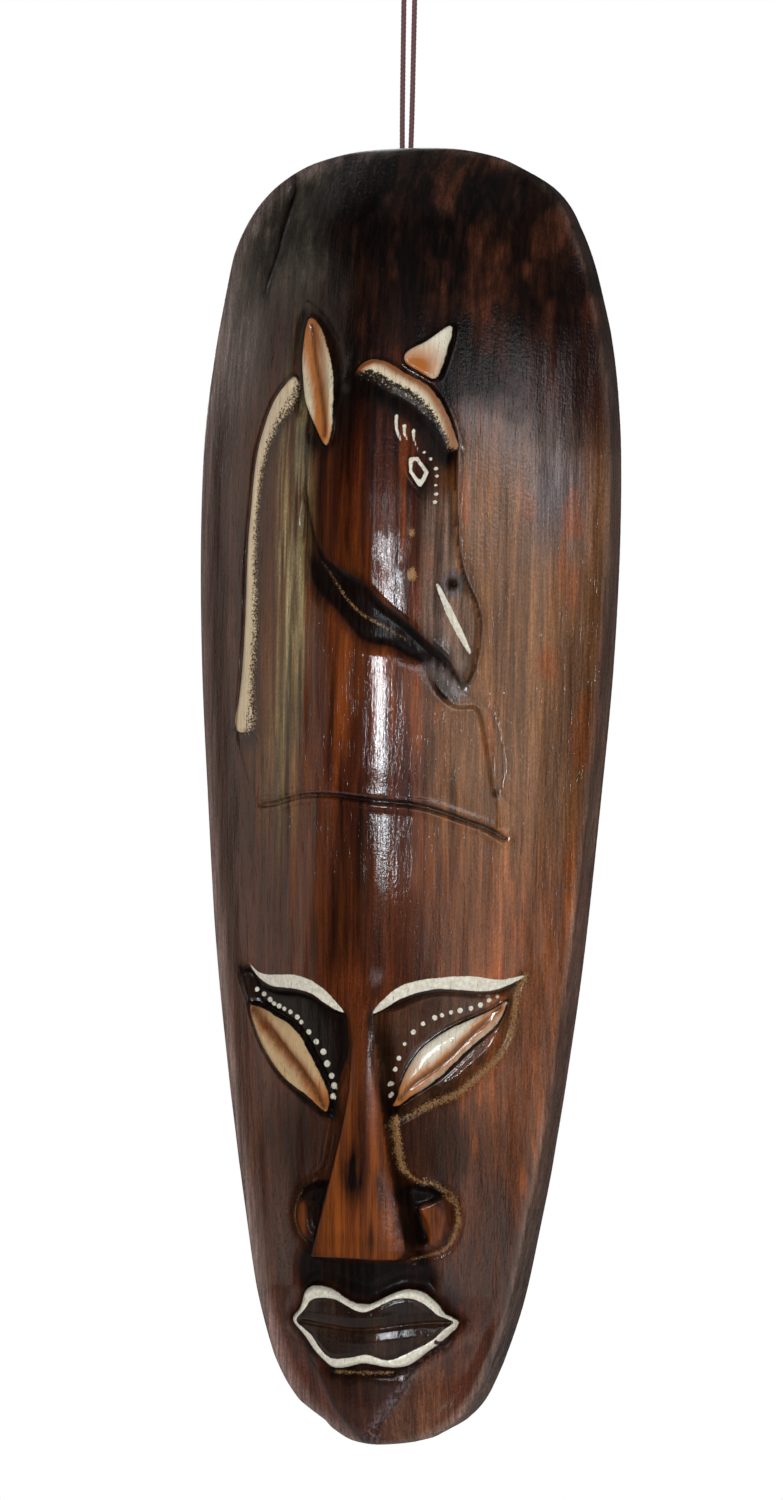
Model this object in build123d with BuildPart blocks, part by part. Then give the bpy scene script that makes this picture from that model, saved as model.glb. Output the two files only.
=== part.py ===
import math
import os

from build123d import *

os.makedirs("parts", exist_ok=True)

# ---------------------------------------------------------------------------
# Carved wooden wall mask: one block of light wood with a horse's head and neck
# carved in relief over a long face, hollowed behind, and hung by a doubled
# cord from a screw eye in its top edge.
# Frame: millimetres, +Z up, the carved front faces -Y and the wall is at +Y.
# The origin is the inner top of the cord loop, where the wall nail goes.
# ---------------------------------------------------------------------------

MASK_HEIGHT = 500.0       # chin to crown
MASK_SHIFT_X = 8.4        # the mask's own centre plane lies this far to +X
RIM_Y = -6.0              # plane of the flat back rim
LOOP_DROP = 70.0          # loop's inner top above the crown
BASE_Z = -(LOOP_DROP + MASK_HEIGHT)   # the chin's height

RIDGE_SLOPE = 0.577       # fall of each cheek away from the central ridge
RIDGE_ROUND = 17.0        # rounding of the central ridge
RELIEF = 3.0              # how far the carved relief stands up
SOCKET_DEPTH = 5.5        # how far the eye sockets are cut back
EYE_DEPTH = 2.5           # how far the eyes lie back from the cheek
HOLLOW_WALL = 12.0        # wood left around the hollowed back
CRACK_DEPTH = 5.0         # drying crack at the crown

CORD_DIA = 2.1            # each strand of the doubled cord
NAIL_SPAN = 4.5           # between strand centres where they turn over the nail
EYE_WIRE = 2.0            # screw eye wire
EYE_RADIUS = 4.5          # ring centreline radius
EYE_BELOW_CROWN = 12.0    # ring centre under the crown
SHANK_LENGTH = 15.0       # ring centreline to the tip of the screw
KNOT_RADIUS = 3.8         # stopper knot, wider than the ring's 7 mm hole
KNOT_BELOW_RING = 4.5     # knot centre under the ring centre

# height above the chin, half width of the outline
OUTLINE = [
    (0.0, 5.0), (1.0, 9.0), (2.7, 14.0), (5.0, 19.8), (8.5, 24.9), (12.0, 29.4),
    (16.6, 34.2), (24.3, 39.7), (39.7, 46.2), (55.2, 50.8), (70.6, 54.1),
    (86.0, 57.0), (101.5, 59.9), (117.0, 62.3), (132.3, 64.6), (148.0, 66.7),
    (163.2, 68.7), (194.0, 72.2), (225.0, 75.0), (256.0, 77.6), (288.0, 80.1),
    (318.0, 81.7), (345.0, 82.5), (372.0, 82.5), (395.0, 81.6), (410.0, 80.0),
    (425.5, 77.4), (441.0, 74.0), (456.4, 69.9), (464.0, 67.1), (471.8, 63.4),
    (479.5, 58.2), (487.0, 50.0), (491.0, 43.2), (495.0, 34.8), (497.2, 27.5),
    (498.8, 20.0), (500.0, 9.0),
]
# height, distance of the central ridge in front of the rim plane
RIDGE = [
    (0, 39.5), (20, 41.5), (45, 45.0), (73, 48.5), (100, 51.5), (125, 54.3),
    (165, 58.0), (230, 61.0), (300, 62.5), (360, 62.0), (410, 59.0),
    (450, 53.0), (480, 43.5), (500, 33.0),
]
# height, height of the upright side wall before the cheek rounds over
SIDE_WALL = [
    (0, 31.0), (8, 28.0), (25, 25.0), (60, 22.5), (120, 21.5), (200, 20.5),
    (250, 18.5), (300, 17.0), (400, 15.5), (450, 16.5), (470, 18.5), (500, 19.0),
]
# height, how wide the rounding is between the side wall and the cheek
ROUNDING = [
    (0, 7.0), (20, 10.0), (60, 18.0), (120, 23.0), (200, 26.0), (300, 27.0),
    (400, 28.0), (450, 31.0), (500, 36.0),
]


def along(table, z):
    """Straight-line value from a (height, value) table."""
    if z <= table[0][0]:
        return table[0][1]
    for (z0, v0), (z1, v1) in zip(table, table[1:]):
        if z <= z1:
            return v0 + (v1 - v0) * (z - z0) / (z1 - z0)
    return table[-1][1]


def rim_distance(x, z):
    """Shortest distance from a point of the front to the outline."""
    x = abs(x)
    best = 1e9
    ring = [(0.0, 0.0)] + [(a, h) for h, a in OUTLINE] + [(0.0, MASK_HEIGHT)]
    for (x0, z0), (x1, z1) in zip(ring, ring[1:]):
        dx, dz = x1 - x0, z1 - z0
        t = ((x - x0) * dx + (z - z0) * dz) / (dx * dx + dz * dz)
        t = min(1.0, max(0.0, t))
        best = min(best, math.hypot(x - x0 - t * dx, z - z0 - t * dz))
    return best


def front_depth(x, z, grow=0.0):
    """How far the front stands out from the rim plane at (x, z)."""
    gable = along(RIDGE, z) - RIDGE_SLOPE * (math.hypot(x, RIDGE_ROUND) - RIDGE_ROUND)
    wall = min(along(SIDE_WALL, z), 0.9 * gable)
    u = max(0.0, 1.0 - rim_distance(x, z) / along(ROUNDING, z))
    return wall + (gable - wall) * math.sqrt(max(0.0, 1.0 - u**2.2)) + grow


def place(x, y, z):
    """A point of the mask's own frame, in the part's frame."""
    return (x + MASK_SHIFT_X, y + RIM_Y, z + BASE_Z)


def section_points(z, grow):
    a = along(OUTLINE, z)
    fractions = (-1.0, -0.965, -0.88, -0.72, -0.5, -0.26, -0.1,
                 0.1, 0.26, 0.5, 0.72, 0.88, 0.965, 1.0)
    return [(f * a, -front_depth(f * a, z, grow)) for f in fractions]


def carved_block(grow):
    """Solid block under the front surface, raised or lowered by grow."""
    with BuildPart() as block:
        for z, a in OUTLINE:
            points = [place(x, y, z) for x, y in section_points(z, grow)]
            left, right = place(-a, 0, z), place(a, 0, z)
            with BuildSketch(Plane.XY.offset(z + BASE_Z)):
                with BuildLine():
                    Line(left[:2], points[0][:2])
                    Spline(*[p[:2] for p in points])
                    Line(points[-1][:2], right[:2])
                    Line(right[:2], left[:2])
                make_face()
        loft(ruled=True)
    return block.part


def raised_patch(block, outline):
    """The part of a block that lies inside an outline seen from the front."""
    with BuildPart() as patch:
        add(block)
        with BuildSketch(Plane.XZ.offset(-RIM_Y)):
            with BuildLine():
                Polyline(*[(x + MASK_SHIFT_X, z + BASE_Z) for x, z in outline], close=True)
            make_face()
        extrude(amount=100, mode=Mode.INTERSECT)
    return patch.part


def sunk_patch(block, outline):
    """What is cut away inside an outline, down to a block's surface."""
    with BuildPart() as cutter:
        with BuildSketch(Plane.XZ.offset(-RIM_Y)):
            with BuildLine():
                Polyline(*[(x + MASK_SHIFT_X, z + BASE_Z) for x, z in outline], close=True)
            make_face()
        extrude(amount=100)
        add(block, mode=Mode.SUBTRACT)
    return cutter.part


# --- outlines of the carving, seen from the front (x, height above the chin) ---
HORSE_HEAD = [
    (-5.0, 411.1), (-1.0, 413.5), (3.6, 414.0), (9.0, 411.8), (13.0, 415.9),
    (28.4, 427.1), (28.0, 418.0), (24.5, 404.5), (28.6, 394.0), (31.4, 385.0),
    (31.6, 372.7), (32.4, 359.0), (33.7, 342.2), (35.6, 332.8), (39.5, 323.2),
    (41.3, 315.7), (40.8, 307.0), (39.0, 297.0), (35.4, 290.5), (32.2, 297.4),
    (27.0, 304.1), (21.8, 309.6), (14.7, 316.2), (7.0, 322.5), (0.4, 329.2),
    (-10.6, 334.9), (-18.1, 341.1), (-22.7, 351.4), (-24.5, 362.2),
    (-24.0, 380.0), (-27.5, 394.0), (-30.5, 407.0), (-31.0, 422.0),
    (-28.1, 431.6), (-22.0, 427.0), (-16.5, 414.0), (-13.5, 400.0),
]
HORSE_NECK = [
    (-34.7, 409.4), (-39.1, 406.5), (-44.2, 400.7), (-48.3, 392.0),
    (-51.4, 382.4), (-53.2, 370.5), (-54.0, 360.1), (-55.1, 346.2),
    (-55.5, 327.7), (-56.1, 308.4), (-58.4, 285.2), (-59.3, 271.6),
    (-54.0, 258.0), (-46.2, 246.0), (-37.2, 246.6), (-29.7, 248.3),
    (-12.7, 249.5), (3.3, 247.9), (15.3, 247.0), (25.7, 245.0), (36.0, 241.2),
    (46.6, 238.0), (46.4, 254.8), (45.1, 264.2), (43.3, 274.7), (40.0, 283.0),
    (34.1, 283.0), (30.0, 286.8), (25.5, 293.5), (21.9, 300.2), (16.7, 302.7),
    (10.2, 306.4), (2.8, 307.4), (-3.5, 312.0), (-11.2, 320.5),
    (-20.8, 328.6), (-24.7, 340.1), (-27.5, 351.6), (-28.5, 364.0),
    (-30.0, 384.0), (-33.5, 400.0),
]
LEFT_SOCKET = [
    (-57.0, 177.0), (-49.3, 176.3), (-42.1, 174.3), (-31.6, 173.4),
    (-21.3, 171.3), (-14.8, 168.0), (-6.7, 165.6), (-5.5, 160.9),
    (-5.1, 154.1), (-7.8, 145.9), (-10.6, 136.2), (-12.6, 127.2),
    (-23.3, 131.3), (-35.9, 140.3), (-47.4, 155.3), (-53.3, 166.9),
]
RIGHT_SOCKET = [
    (5.3, 166.4), (11.2, 169.2), (17.3, 172.4), (24.2, 174.7), (34.2, 175.4),
    (44.0, 175.5), (52.0, 177.8), (54.0, 173.2), (52.0, 163.0), (47.3, 151.5),
    (41.0, 144.6), (33.0, 137.4), (24.6, 133.5), (17.8, 129.6),
    (12.3, 126.3), (10.2, 134.8), (8.1, 143.5), (6.4, 151.1), (6.2, 159.9),
]
LEFT_EYE = [
    (-51.5, 167.4), (-43.1, 164.9), (-33.5, 161.3), (-27.6, 156.3),
    (-22.4, 148.6), (-17.7, 141.1), (-14.2, 130.2), (-22.6, 133.5),
    (-33.8, 140.8), (-43.2, 150.3), (-49.4, 160.3),
]
RIGHT_EYE = [
    (12.5, 132.8), (13.5, 140.1), (16.6, 147.4), (19.4, 152.0), (25.2, 157.7),
    (32.2, 162.4), (39.4, 166.0), (45.6, 169.3), (50.3, 172.0), (47.2, 164.0),
    (40.8, 157.1), (35.1, 151.3), (29.4, 145.2), (22.8, 139.4), (17.1, 135.5),
]
LEFT_NOSTRIL = [
    (-11.0, 101.5), (-20.4, 101.0), (-26.2, 98.6), (-29.0, 92.7),
    (-30.1, 87.1), (-28.8, 81.8), (-24.9, 77.4), (-11.0, 75.0),
]
RIGHT_NOSTRIL = [
    (13.0, 75.0), (22.0, 75.2), (27.9, 76.9), (30.4, 78.4), (33.2, 82.8),
    (34.6, 88.1), (34.7, 93.1), (33.4, 98.1), (30.6, 100.8), (23.0, 102.6),
    (13.0, 101.5),
]
LIPS = [
    (-32.1, 47.2), (-27.4, 54.6), (-25.6, 59.1), (-20.0, 61.4), (-14.8, 61.2),
    (-10.1, 59.7), (-3.4, 56.7), (2.2, 56.4), (6.1, 57.8), (10.9, 60.4),
    (16.3, 62.2), (21.5, 61.5), (25.3, 58.8), (28.4, 55.3), (33.6, 49.5),
    (31.7, 46.0), (26.7, 40.5), (19.9, 35.0), (14.6, 32.4), (5.4, 32.6),
    (-0.4, 33.0), (-6.7, 31.3), (-13.9, 30.5), (-17.1, 32.1), (-22.2, 36.1),
    (-27.4, 41.7),
]
MOUTH_LINE = [
    (-29.0, 47.4), (-14.2, 47.1), (-0.3, 47.0), (14.0, 48.9), (30.0, 50.0),
    (30.0, 48.8), (14.0, 47.3), (-0.3, 45.2), (-14.2, 45.5), (-29.0, 46.2),
]
CRACK = [
    (-41.2, 489.6), (-44.2, 482.6), (-47.2, 469.0), (-48.9, 458.0),
    (-50.8, 449.5), (-52.2, 450.0), (-50.6, 458.3), (-48.9, 469.4),
    (-46.0, 483.4), (-43.2, 490.4),
]
# height, left edge, right edge and height of the nose above the cheek surface
NOSE = [
    (175.0, -1.8, 6.4, -1.0), (166.0, -2.6, 7.1, 3.0), (155.0, -2.4, 8.1, 5.0),
    (138.0, -3.4, 9.8, 6.5), (122.0, -6.6, 11.6, 7.5), (107.5, -9.9, 13.6, 8.5),
    (93.0, -13.4, 17.3, 9.3), (77.5, -17.4, 20.0, 10.0), (74.0, -17.2, 18.0, 8.0),
]

surface_block = carved_block(0.0)
relief_block = carved_block(RELIEF)
socket_block = carved_block(-SOCKET_DEPTH)
eye_block = carved_block(-EYE_DEPTH)
crack_block = carved_block(-CRACK_DEPTH)

raised = [raised_patch(relief_block, outline)
          for outline in (HORSE_HEAD, HORSE_NECK, LEFT_NOSTRIL, RIGHT_NOSTRIL, LIPS)]
sockets = [sunk_patch(socket_block, outline) for outline in (LEFT_SOCKET, RIGHT_SOCKET)]
eyes = [raised_patch(eye_block, outline) for outline in (LEFT_EYE, RIGHT_EYE)]
grooves = [sunk_patch(surface_block, MOUTH_LINE), sunk_patch(crack_block, CRACK)]

# --- nose: a long wedge that widens and rises towards its base ---
with BuildPart() as nose:
    for z, left, right, proud in NOSE:
        floor = -(along(RIDGE, z) - 12.0)
        top = -(along(RIDGE, z) + proud)
        mid = (left + right) / 2
        half = (right - left) / 2
        with BuildSketch(Plane.XY.offset(z + BASE_Z)):
            with BuildLine():
                Polyline(
                    place(mid - half * 1.15, floor, 0)[:2],
                    place(mid - half, top + half * 0.32, 0)[:2],
                    place(mid - half * 0.45, top, 0)[:2],
                    place(mid + half * 0.45, top, 0)[:2],
                    place(mid + half, top + half * 0.32, 0)[:2],
                    place(mid + half * 1.15, floor, 0)[:2],
                    close=True,
                )
            make_face()
    loft(ruled=True)

# --- hollow of the back: open at the rim plane, closed at crown and chin ---
with BuildPart() as hollow:
    for z, shrink in ((26.0, 8.0), (34.0, 2.0), (60.0, 0.0), (110.0, 0.0),
                      (170.0, 0.0), (240.0, 0.0), (310.0, 0.0), (370.0, 0.0),
                      (420.0, 0.0), (450.0, 0.0), (464.0, 3.0), (474.0, 9.0)):
        a = along(OUTLINE, z) - HOLLOW_WALL
        depth = along(RIDGE, z) - HOLLOW_WALL - 6.0 - 1.6 * shrink
        edge = max(6.0, front_depth(a, z) - HOLLOW_WALL - 4.0 - shrink)
        a = a - shrink
        with BuildSketch(Plane.XY.offset(z + BASE_Z)):
            with BuildLine():
                start, end = place(-a, 0, z)[:2], place(a, 0, z)[:2]
                front = [place(x, y, z)[:2] for x, y in (
                    (-a * 0.96, -edge), (-a * 0.62, -(edge + (depth - edge) * 0.62)),
                    (-a * 0.25, -depth), (a * 0.25, -depth),
                    (a * 0.62, -(edge + (depth - edge) * 0.62)), (a * 0.96, -edge))]
                Polyline(start, *front, end, close=True)
            make_face()
    loft(ruled=True)

# --- screw eye: a horizontal ring behind the crown on a screw that points in ---
EYE_Z = -(LOOP_DROP + EYE_BELOW_CROWN)
with BuildPart() as screw_eye:
    with BuildSketch(Plane.XZ.offset(0)) as wire:
        with Locations((EYE_RADIUS, EYE_Z)):
            Circle(EYE_WIRE / 2)
    revolve(axis=Axis((0, 0, EYE_Z), (0, 0, 1)), revolution_arc=360)
    with BuildSketch(Plane.XZ.offset(EYE_RADIUS)):
        with Locations((0, EYE_Z)):
            Circle(EYE_WIRE / 2)
    extrude(amount=SHANK_LENGTH - 4.0)
    with BuildSketch(Plane.XZ.offset(EYE_RADIUS + SHANK_LENGTH - 4.0)):
        with Locations((0, EYE_Z)):
            Circle(EYE_WIRE / 2)
    extrude(amount=4.0, taper=12.0)
screw_eye.part.label = "screw_eye"

# --- the mask: block, relief, nose, sockets, eyes, grooves and hollow ---
with BuildPart() as mask_body:
    add(surface_block)
    for patch in raised:
        add(patch)
    for cutter in sockets:
        add(cutter, mode=Mode.SUBTRACT)
    for eye in eyes:
        add(eye)
    add(nose.part)
    for groove in grooves:
        add(groove, mode=Mode.SUBTRACT)
    add(hollow.part, mode=Mode.SUBTRACT)
    add(screw_eye.part, mode=Mode.SUBTRACT)
mask_body.part.label = "mask_body"

# --- doubled cord: up from the knot, over the nail and down again ---
KNOT_Z = EYE_Z - KNOT_BELOW_RING
TOP_Z = CORD_DIA / 2
ROUTE = [
    (-1.15, 0.0, KNOT_Z), (-1.95, 0.0, -LOOP_DROP + 1.5), (-NAIL_SPAN / 2, 0.0, TOP_Z),
    (NAIL_SPAN / 2, 0.0, TOP_Z), (1.95, 0.0, -LOOP_DROP + 1.5), (1.15, 0.0, KNOT_Z),
]


def corner_radii(route):
    radii = []
    for p, q, r in zip(route, route[1:], route[2:]):
        u, v = Vector(*q) - Vector(*p), Vector(*r) - Vector(*q)
        turn = math.radians(u.get_angle(v))
        radii.append(0.45 * min(u.length, v.length) / math.tan(turn / 2))
    return radii


CORD_RADII = corner_radii(ROUTE)
print("cord corner radii", [round(r, 2) for r in CORD_RADII])

with BuildPart() as cord_knot:
    with Locations((0, 0, KNOT_Z)):
        Sphere(KNOT_RADIUS)
    for side, length in ((-1, 9.0), (1, 7.0)):
        with BuildSketch(Plane.XY.offset(KNOT_Z - 1.5)):
            with Locations((side * 1.25, 0)):
                Circle(CORD_DIA / 2)
        extrude(amount=-(KNOT_RADIUS - 1.5 + length))
cord_knot.part.label = "cord_knot"

with BuildPart() as hanging_cord:
    with BuildLine() as cord_path:
        route_line = FilletPolyline(*ROUTE, radius=CORD_RADII)
    with BuildSketch(Plane(origin=route_line @ 0, z_dir=route_line % 0)):
        Circle(CORD_DIA / 2)
    sweep(path=route_line)
    add(cord_knot.part, mode=Mode.SUBTRACT)
hanging_cord.part.label = "hanging_cord"
print("cord length", round(route_line.length, 2),
      "volume", round(hanging_cord.part.volume, 1))

export_step(mask_body.part, "parts/mask_body.step")
export_step(screw_eye.part, "parts/screw_eye.step")
export_step(hanging_cord.part, "parts/hanging_cord.step")
export_step(cord_knot.part, "parts/cord_knot.step")
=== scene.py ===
import math
import bpy
import numpy as np
from mathutils import Matrix, Vector


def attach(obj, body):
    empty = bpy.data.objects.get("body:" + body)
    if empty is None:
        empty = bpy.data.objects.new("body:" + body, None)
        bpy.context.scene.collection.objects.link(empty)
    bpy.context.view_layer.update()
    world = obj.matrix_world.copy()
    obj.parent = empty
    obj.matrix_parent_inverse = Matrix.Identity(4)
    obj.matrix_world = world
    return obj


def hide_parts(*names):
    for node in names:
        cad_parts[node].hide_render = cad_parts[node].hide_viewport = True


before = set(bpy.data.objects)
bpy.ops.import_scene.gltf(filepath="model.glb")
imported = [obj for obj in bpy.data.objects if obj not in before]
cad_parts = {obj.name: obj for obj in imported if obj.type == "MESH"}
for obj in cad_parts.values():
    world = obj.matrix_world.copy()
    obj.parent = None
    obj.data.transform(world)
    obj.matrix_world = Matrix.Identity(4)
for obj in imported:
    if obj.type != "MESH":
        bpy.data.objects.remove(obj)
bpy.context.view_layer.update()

# ---------------------------------------------------------------------------
# Shared frame. The mask's own frame is x across, z above the chin and D the
# distance in front of the rim plane, in millimetres.
# ---------------------------------------------------------------------------
SHIFT_X, RIM_Y, BASE_Z = 8.4, -6.0, -570.0
H = 500.0


def row(x, d, z):
    """Mask millimetres to the row frame in metres."""
    return np.stack([(x + SHIFT_X) / 1000.0, (-d + RIM_Y) / 1000.0, (z + BASE_Z) / 1000.0], -1)


def srgb(r, g, b, a=1.0):
    def lin(c):
        c = c / 255.0
        return c / 12.92 if c <= 0.04045 else ((c + 0.055) / 1.055) ** 2.4
    return (lin(r), lin(g), lin(b), a)


# ---------------------------------------------------------------------------
# Camera first, then the cord, then everything else.
# ---------------------------------------------------------------------------
AZ, ROLL, DIST = math.radians(18.0), math.radians(1.05), 1.5
target = Vector((SHIFT_X / 1000.0, (25.0 * -1 + RIM_Y) / 1000.0, (266.9 + BASE_Z) / 1000.0))
back = Vector((math.sin(AZ), -math.cos(AZ), 0.0))
right = Vector((math.cos(AZ), math.sin(AZ), 0.0))
up = Vector((0.0, 0.0, 1.0))
r2 = right * math.cos(ROLL) + up * math.sin(ROLL)
u2 = up * math.cos(ROLL) - right * math.sin(ROLL)
cam_data = bpy.data.cameras.new("camera")
cam_data.sensor_fit = "VERTICAL"
cam_data.sensor_height = 36.0
cam_data.lens = 36.0 * 2.592 * DIST * 1000.0 / 1500.0
cam_data.clip_start, cam_data.clip_end = 0.01, 50.0
cam_data.dof.use_dof = False
cam = bpy.data.objects.new("camera", cam_data)
bpy.context.scene.collection.objects.link(cam)
m = Matrix((r2, u2, back)).transposed().to_4x4()
m.translation = target + back * DIST
cam.matrix_world = m
bpy.context.scene.camera = cam
bpy.context.view_layer.update()


# ---------------------------------------------------------------------------
# Node helpers
# ---------------------------------------------------------------------------
class Nodes:
    """Short forms for building a node tree."""

    def __init__(self, tree):
        self.t = tree
        self.t.nodes.clear()

    def add(self, kind, **props):
        n = self.t.nodes.new(kind)
        for k, v in props.items():
            setattr(n, k, v)
        return n

    def put(self, socket, value):
        if isinstance(value, bpy.types.NodeSocket):
            self.t.links.new(value, socket)
        elif value is not None:
            socket.default_value = value

    def math(self, op, a, b=None, c=None, clamp=False):
        n = self.add("ShaderNodeMath", operation=op, use_clamp=clamp)
        self.put(n.inputs[0], a)
        if b is not None:
            self.put(n.inputs[1], b)
        if c is not None:
            self.put(n.inputs[2], c)
        return n.outputs[0]

    def mix(self, fac, a, b, blend="MIX"):
        n = self.add("ShaderNodeMix", data_type="RGBA", blend_type=blend)
        n.clamp_factor = True
        self.put(n.inputs[0], fac)
        self.put(n.inputs[6], a)
        self.put(n.inputs[7], b)
        return n.outputs[2]

    def ramp(self, value, lo, hi, out_lo=0.0, out_hi=1.0, smooth=True):
        n = self.add("ShaderNodeMapRange", interpolation_type="SMOOTHSTEP" if smooth else "LINEAR")
        n.clamp = True
        self.put(n.inputs[0], value)
        for i, v in ((1, lo), (2, hi), (3, out_lo), (4, out_hi)):
            self.put(n.inputs[i], v)
        return n.outputs[0]

    def attr(self, name, colour=False):
        n = self.add("ShaderNodeAttribute", attribute_name=name)
        return n.outputs["Color"] if colour else n.outputs["Fac"]

    def coords(self, scale, rotation=(0, 0, 0)):
        t = self.add("ShaderNodeTexCoord")
        mp = self.add("ShaderNodeMapping")
        mp.inputs["Scale"].default_value = scale
        mp.inputs["Rotation"].default_value = rotation
        self.t.links.new(t.outputs["Object"], mp.inputs["Vector"])
        return mp.outputs["Vector"]

    def noise(self, vector, scale=1.0, detail=4.0, rough=0.55, distort=0.0, colour=False):
        n = self.add("ShaderNodeTexNoise")
        n.inputs["Scale"].default_value = scale
        n.inputs["Detail"].default_value = detail
        n.inputs["Roughness"].default_value = rough
        n.inputs["Distortion"].default_value = distort
        self.t.links.new(vector, n.inputs["Vector"])
        return n.outputs["Color"] if colour else n.outputs["Fac"]

    def bump(self, height, strength, distance, normal=None):
        n = self.add("ShaderNodeBump")
        n.inputs["Strength"].default_value = strength
        n.inputs["Distance"].default_value = distance
        self.put(n.inputs["Height"], height)
        if normal is not None:
            self.put(n.inputs["Normal"], normal)
        return n.outputs["Normal"]

    def principled(self, base, rough, normal=None, **sockets):
        b = self.add("ShaderNodeBsdfPrincipled")
        self.put(b.inputs["Base Color"], base)
        self.put(b.inputs["Roughness"], rough)
        if normal is not None:
            self.put(b.inputs["Normal"], normal)
        for k, v in sockets.items():
            b.inputs[k.replace("_", " ")].default_value = v
        o = self.add("ShaderNodeOutputMaterial")
        self.t.links.new(b.outputs[0], o.inputs["Surface"])
        return b


def new_material(name):
    mat = bpy.data.materials.new(name)
    mat.use_nodes = True
    return mat, Nodes(mat.node_tree)


# ---------------------------------------------------------------------------
# Hanging cord: one NURBS line up one leg, over the nail and down the other
# ---------------------------------------------------------------------------
EYE_Z = -82.0
KNOT_Z = EYE_Z - 4.5
CORD_R = 1.05
cord_points = [(-1.15, 0.0, KNOT_Z), (-1.95, 0.0, -68.5), (-2.2, 0.0, -11.5), (-2.25, 0.0, 1.05),
               (2.25, 0.0, 1.05), (2.2, 0.0, -11.5), (1.95, 0.0, -68.5), (1.15, 0.0, KNOT_Z)]


def nurbs_points(points, name, resolution=40):
    c = bpy.data.curves.new(name, "CURVE")
    c.dimensions = "3D"
    c.resolution_u = resolution
    s = c.splines.new("NURBS")
    s.points.add(len(points) - 1)
    for p, q in zip(s.points, points):
        p.co = (q[0] / 1000.0, q[1] / 1000.0, q[2] / 1000.0, 1.0)
    s.order_u = 3
    s.use_endpoint_u = True
    ob = bpy.data.objects.new(name, c)
    bpy.context.scene.collection.objects.link(ob)
    bpy.context.view_layer.update()
    me = bpy.data.meshes.new_from_object(ob)
    pts = np.array([v.co[:] for v in me.vertices])
    bpy.data.meshes.remove(me)
    bpy.data.objects.remove(ob)
    bpy.data.curves.remove(c)
    return pts


def even(points, step):
    d = np.r_[0, np.cumsum(np.linalg.norm(np.diff(points, axis=0), axis=1))]
    n = max(2, int(round(d[-1] / step)) + 1)
    t = np.linspace(0, d[-1], n)
    return np.stack([np.interp(t, d, points[:, i]) for i in range(3)], 1), t


def rope_mesh(name, points, radius, step, lobes=3, pitch=0.0052, depth=0.16, ring=20, taper=None, closed=False):
    """A laid cord: a tube whose section has lobes that twist along it."""
    P, s = even(points, step)
    if closed:
        P, s = P[:-1], s[:-1]
    n = len(P)
    T = np.gradient(P, axis=0) if not closed else (np.roll(P, -1, 0) - np.roll(P, 1, 0))
    T /= np.linalg.norm(T, axis=1)[:, None]
    N = np.zeros_like(T)
    ref = np.array([0.0, 1.0, 0.0]) if abs(T[0, 1]) < 0.8 else np.array([1.0, 0.0, 0.0])
    v = ref - T[0] * (ref @ T[0])
    N[0] = v / np.linalg.norm(v)
    for i in range(1, n):
        v = N[i - 1] - T[i] * (N[i - 1] @ T[i])
        N[i] = v / np.linalg.norm(v)
    B = np.cross(T, N)
    th = np.linspace(0, 2 * math.pi, ring, endpoint=False)
    ph = th[None] - 2 * math.pi * s[:, None] / pitch
    lobe = np.abs(np.cos(ph * lobes / 2)) ** 0.7
    fibre = 0.02 * np.sin(ph * 17 + s[:, None] * 9000) + 0.015 * np.sin(ph * 29 - s[:, None] * 15000)
    r = radius * (1 - depth + depth * lobe + fibre)
    if taper is not None:
        r = r * np.interp(s, *taper)[:, None]
    V = P[:, None] + r[..., None] * (np.cos(th)[None, :, None] * N[:, None] + np.sin(th)[None, :, None] * B[:, None])
    V = V.reshape(-1, 3)
    faces = []
    last = n if closed else n - 1
    for i in range(last):
        a, b = i * ring, ((i + 1) % n) * ring
        for j in range(ring):
            k = (j + 1) % ring
            faces.append((a + j, a + k, b + k, b + j))
    if not closed:
        faces.append(tuple(reversed(range(ring))))
        faces.append(tuple(range((n - 1) * ring, n * ring)))
    me = bpy.data.meshes.new(name)
    me.from_pydata(V.tolist(), [], faces)
    me.polygons.foreach_set("use_smooth", [True] * len(me.polygons))
    at = me.attributes.new("lobe", "FLOAT", "POINT")
    at.data.foreach_set("value", lobe.reshape(-1).astype(np.float32))
    me.update()
    ob = bpy.data.objects.new(name, me)
    bpy.context.scene.collection.objects.link(ob)
    return ob, P


cord_path = nurbs_points(cord_points, "cord_route")
cord, _ = rope_mesh("hanging_cord_twisted", cord_path, CORD_R / 1000.0, 0.00035)
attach(cord, "hanger")
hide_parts("hanging_cord")

t = np.linspace(0, 2 * math.pi, 220)
knot_pts = np.stack([(2 + np.cos(3 * t)) * np.cos(2 * t) * 0.92,
                     (2 + np.cos(3 * t)) * np.sin(2 * t) * 0.92,
                     np.sin(3 * t) * 1.55], 1)
knot_pts[:, 2] += KNOT_Z
knot, _ = rope_mesh("cord_knot_tied", knot_pts / 1000.0, 0.00112, 0.0003, closed=True)
tails = []
for side, length, sway in ((-1, 12.0, 0.8), (1, 10.0, -1.0)):
    pts = np.array([(side * 1.3, 0.0, KNOT_Z - 1.0), (side * 1.9, 0.35, KNOT_Z - 4.0),
                    (side * 2.3, 0.3 + sway * 0.2, KNOT_Z - 1.5 - length * 0.55),
                    (side * 2.0 + sway * 0.3, sway * 0.5, KNOT_Z - 1.5 - length)])
    path = nurbs_points([tuple(p) for p in pts], "tail_route", 24)
    tail, _ = rope_mesh("cord_tail_%d" % (1 if side < 0 else 2), path, CORD_R / 1000.0, 0.0003,
                        taper=([0, length * 0.0009, length * 0.00115], [1.0, 1.0, 1.28]))
    tails.append(tail)
for piece in [knot] + tails:
    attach(piece, "hanger")
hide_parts("cord_knot")

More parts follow.
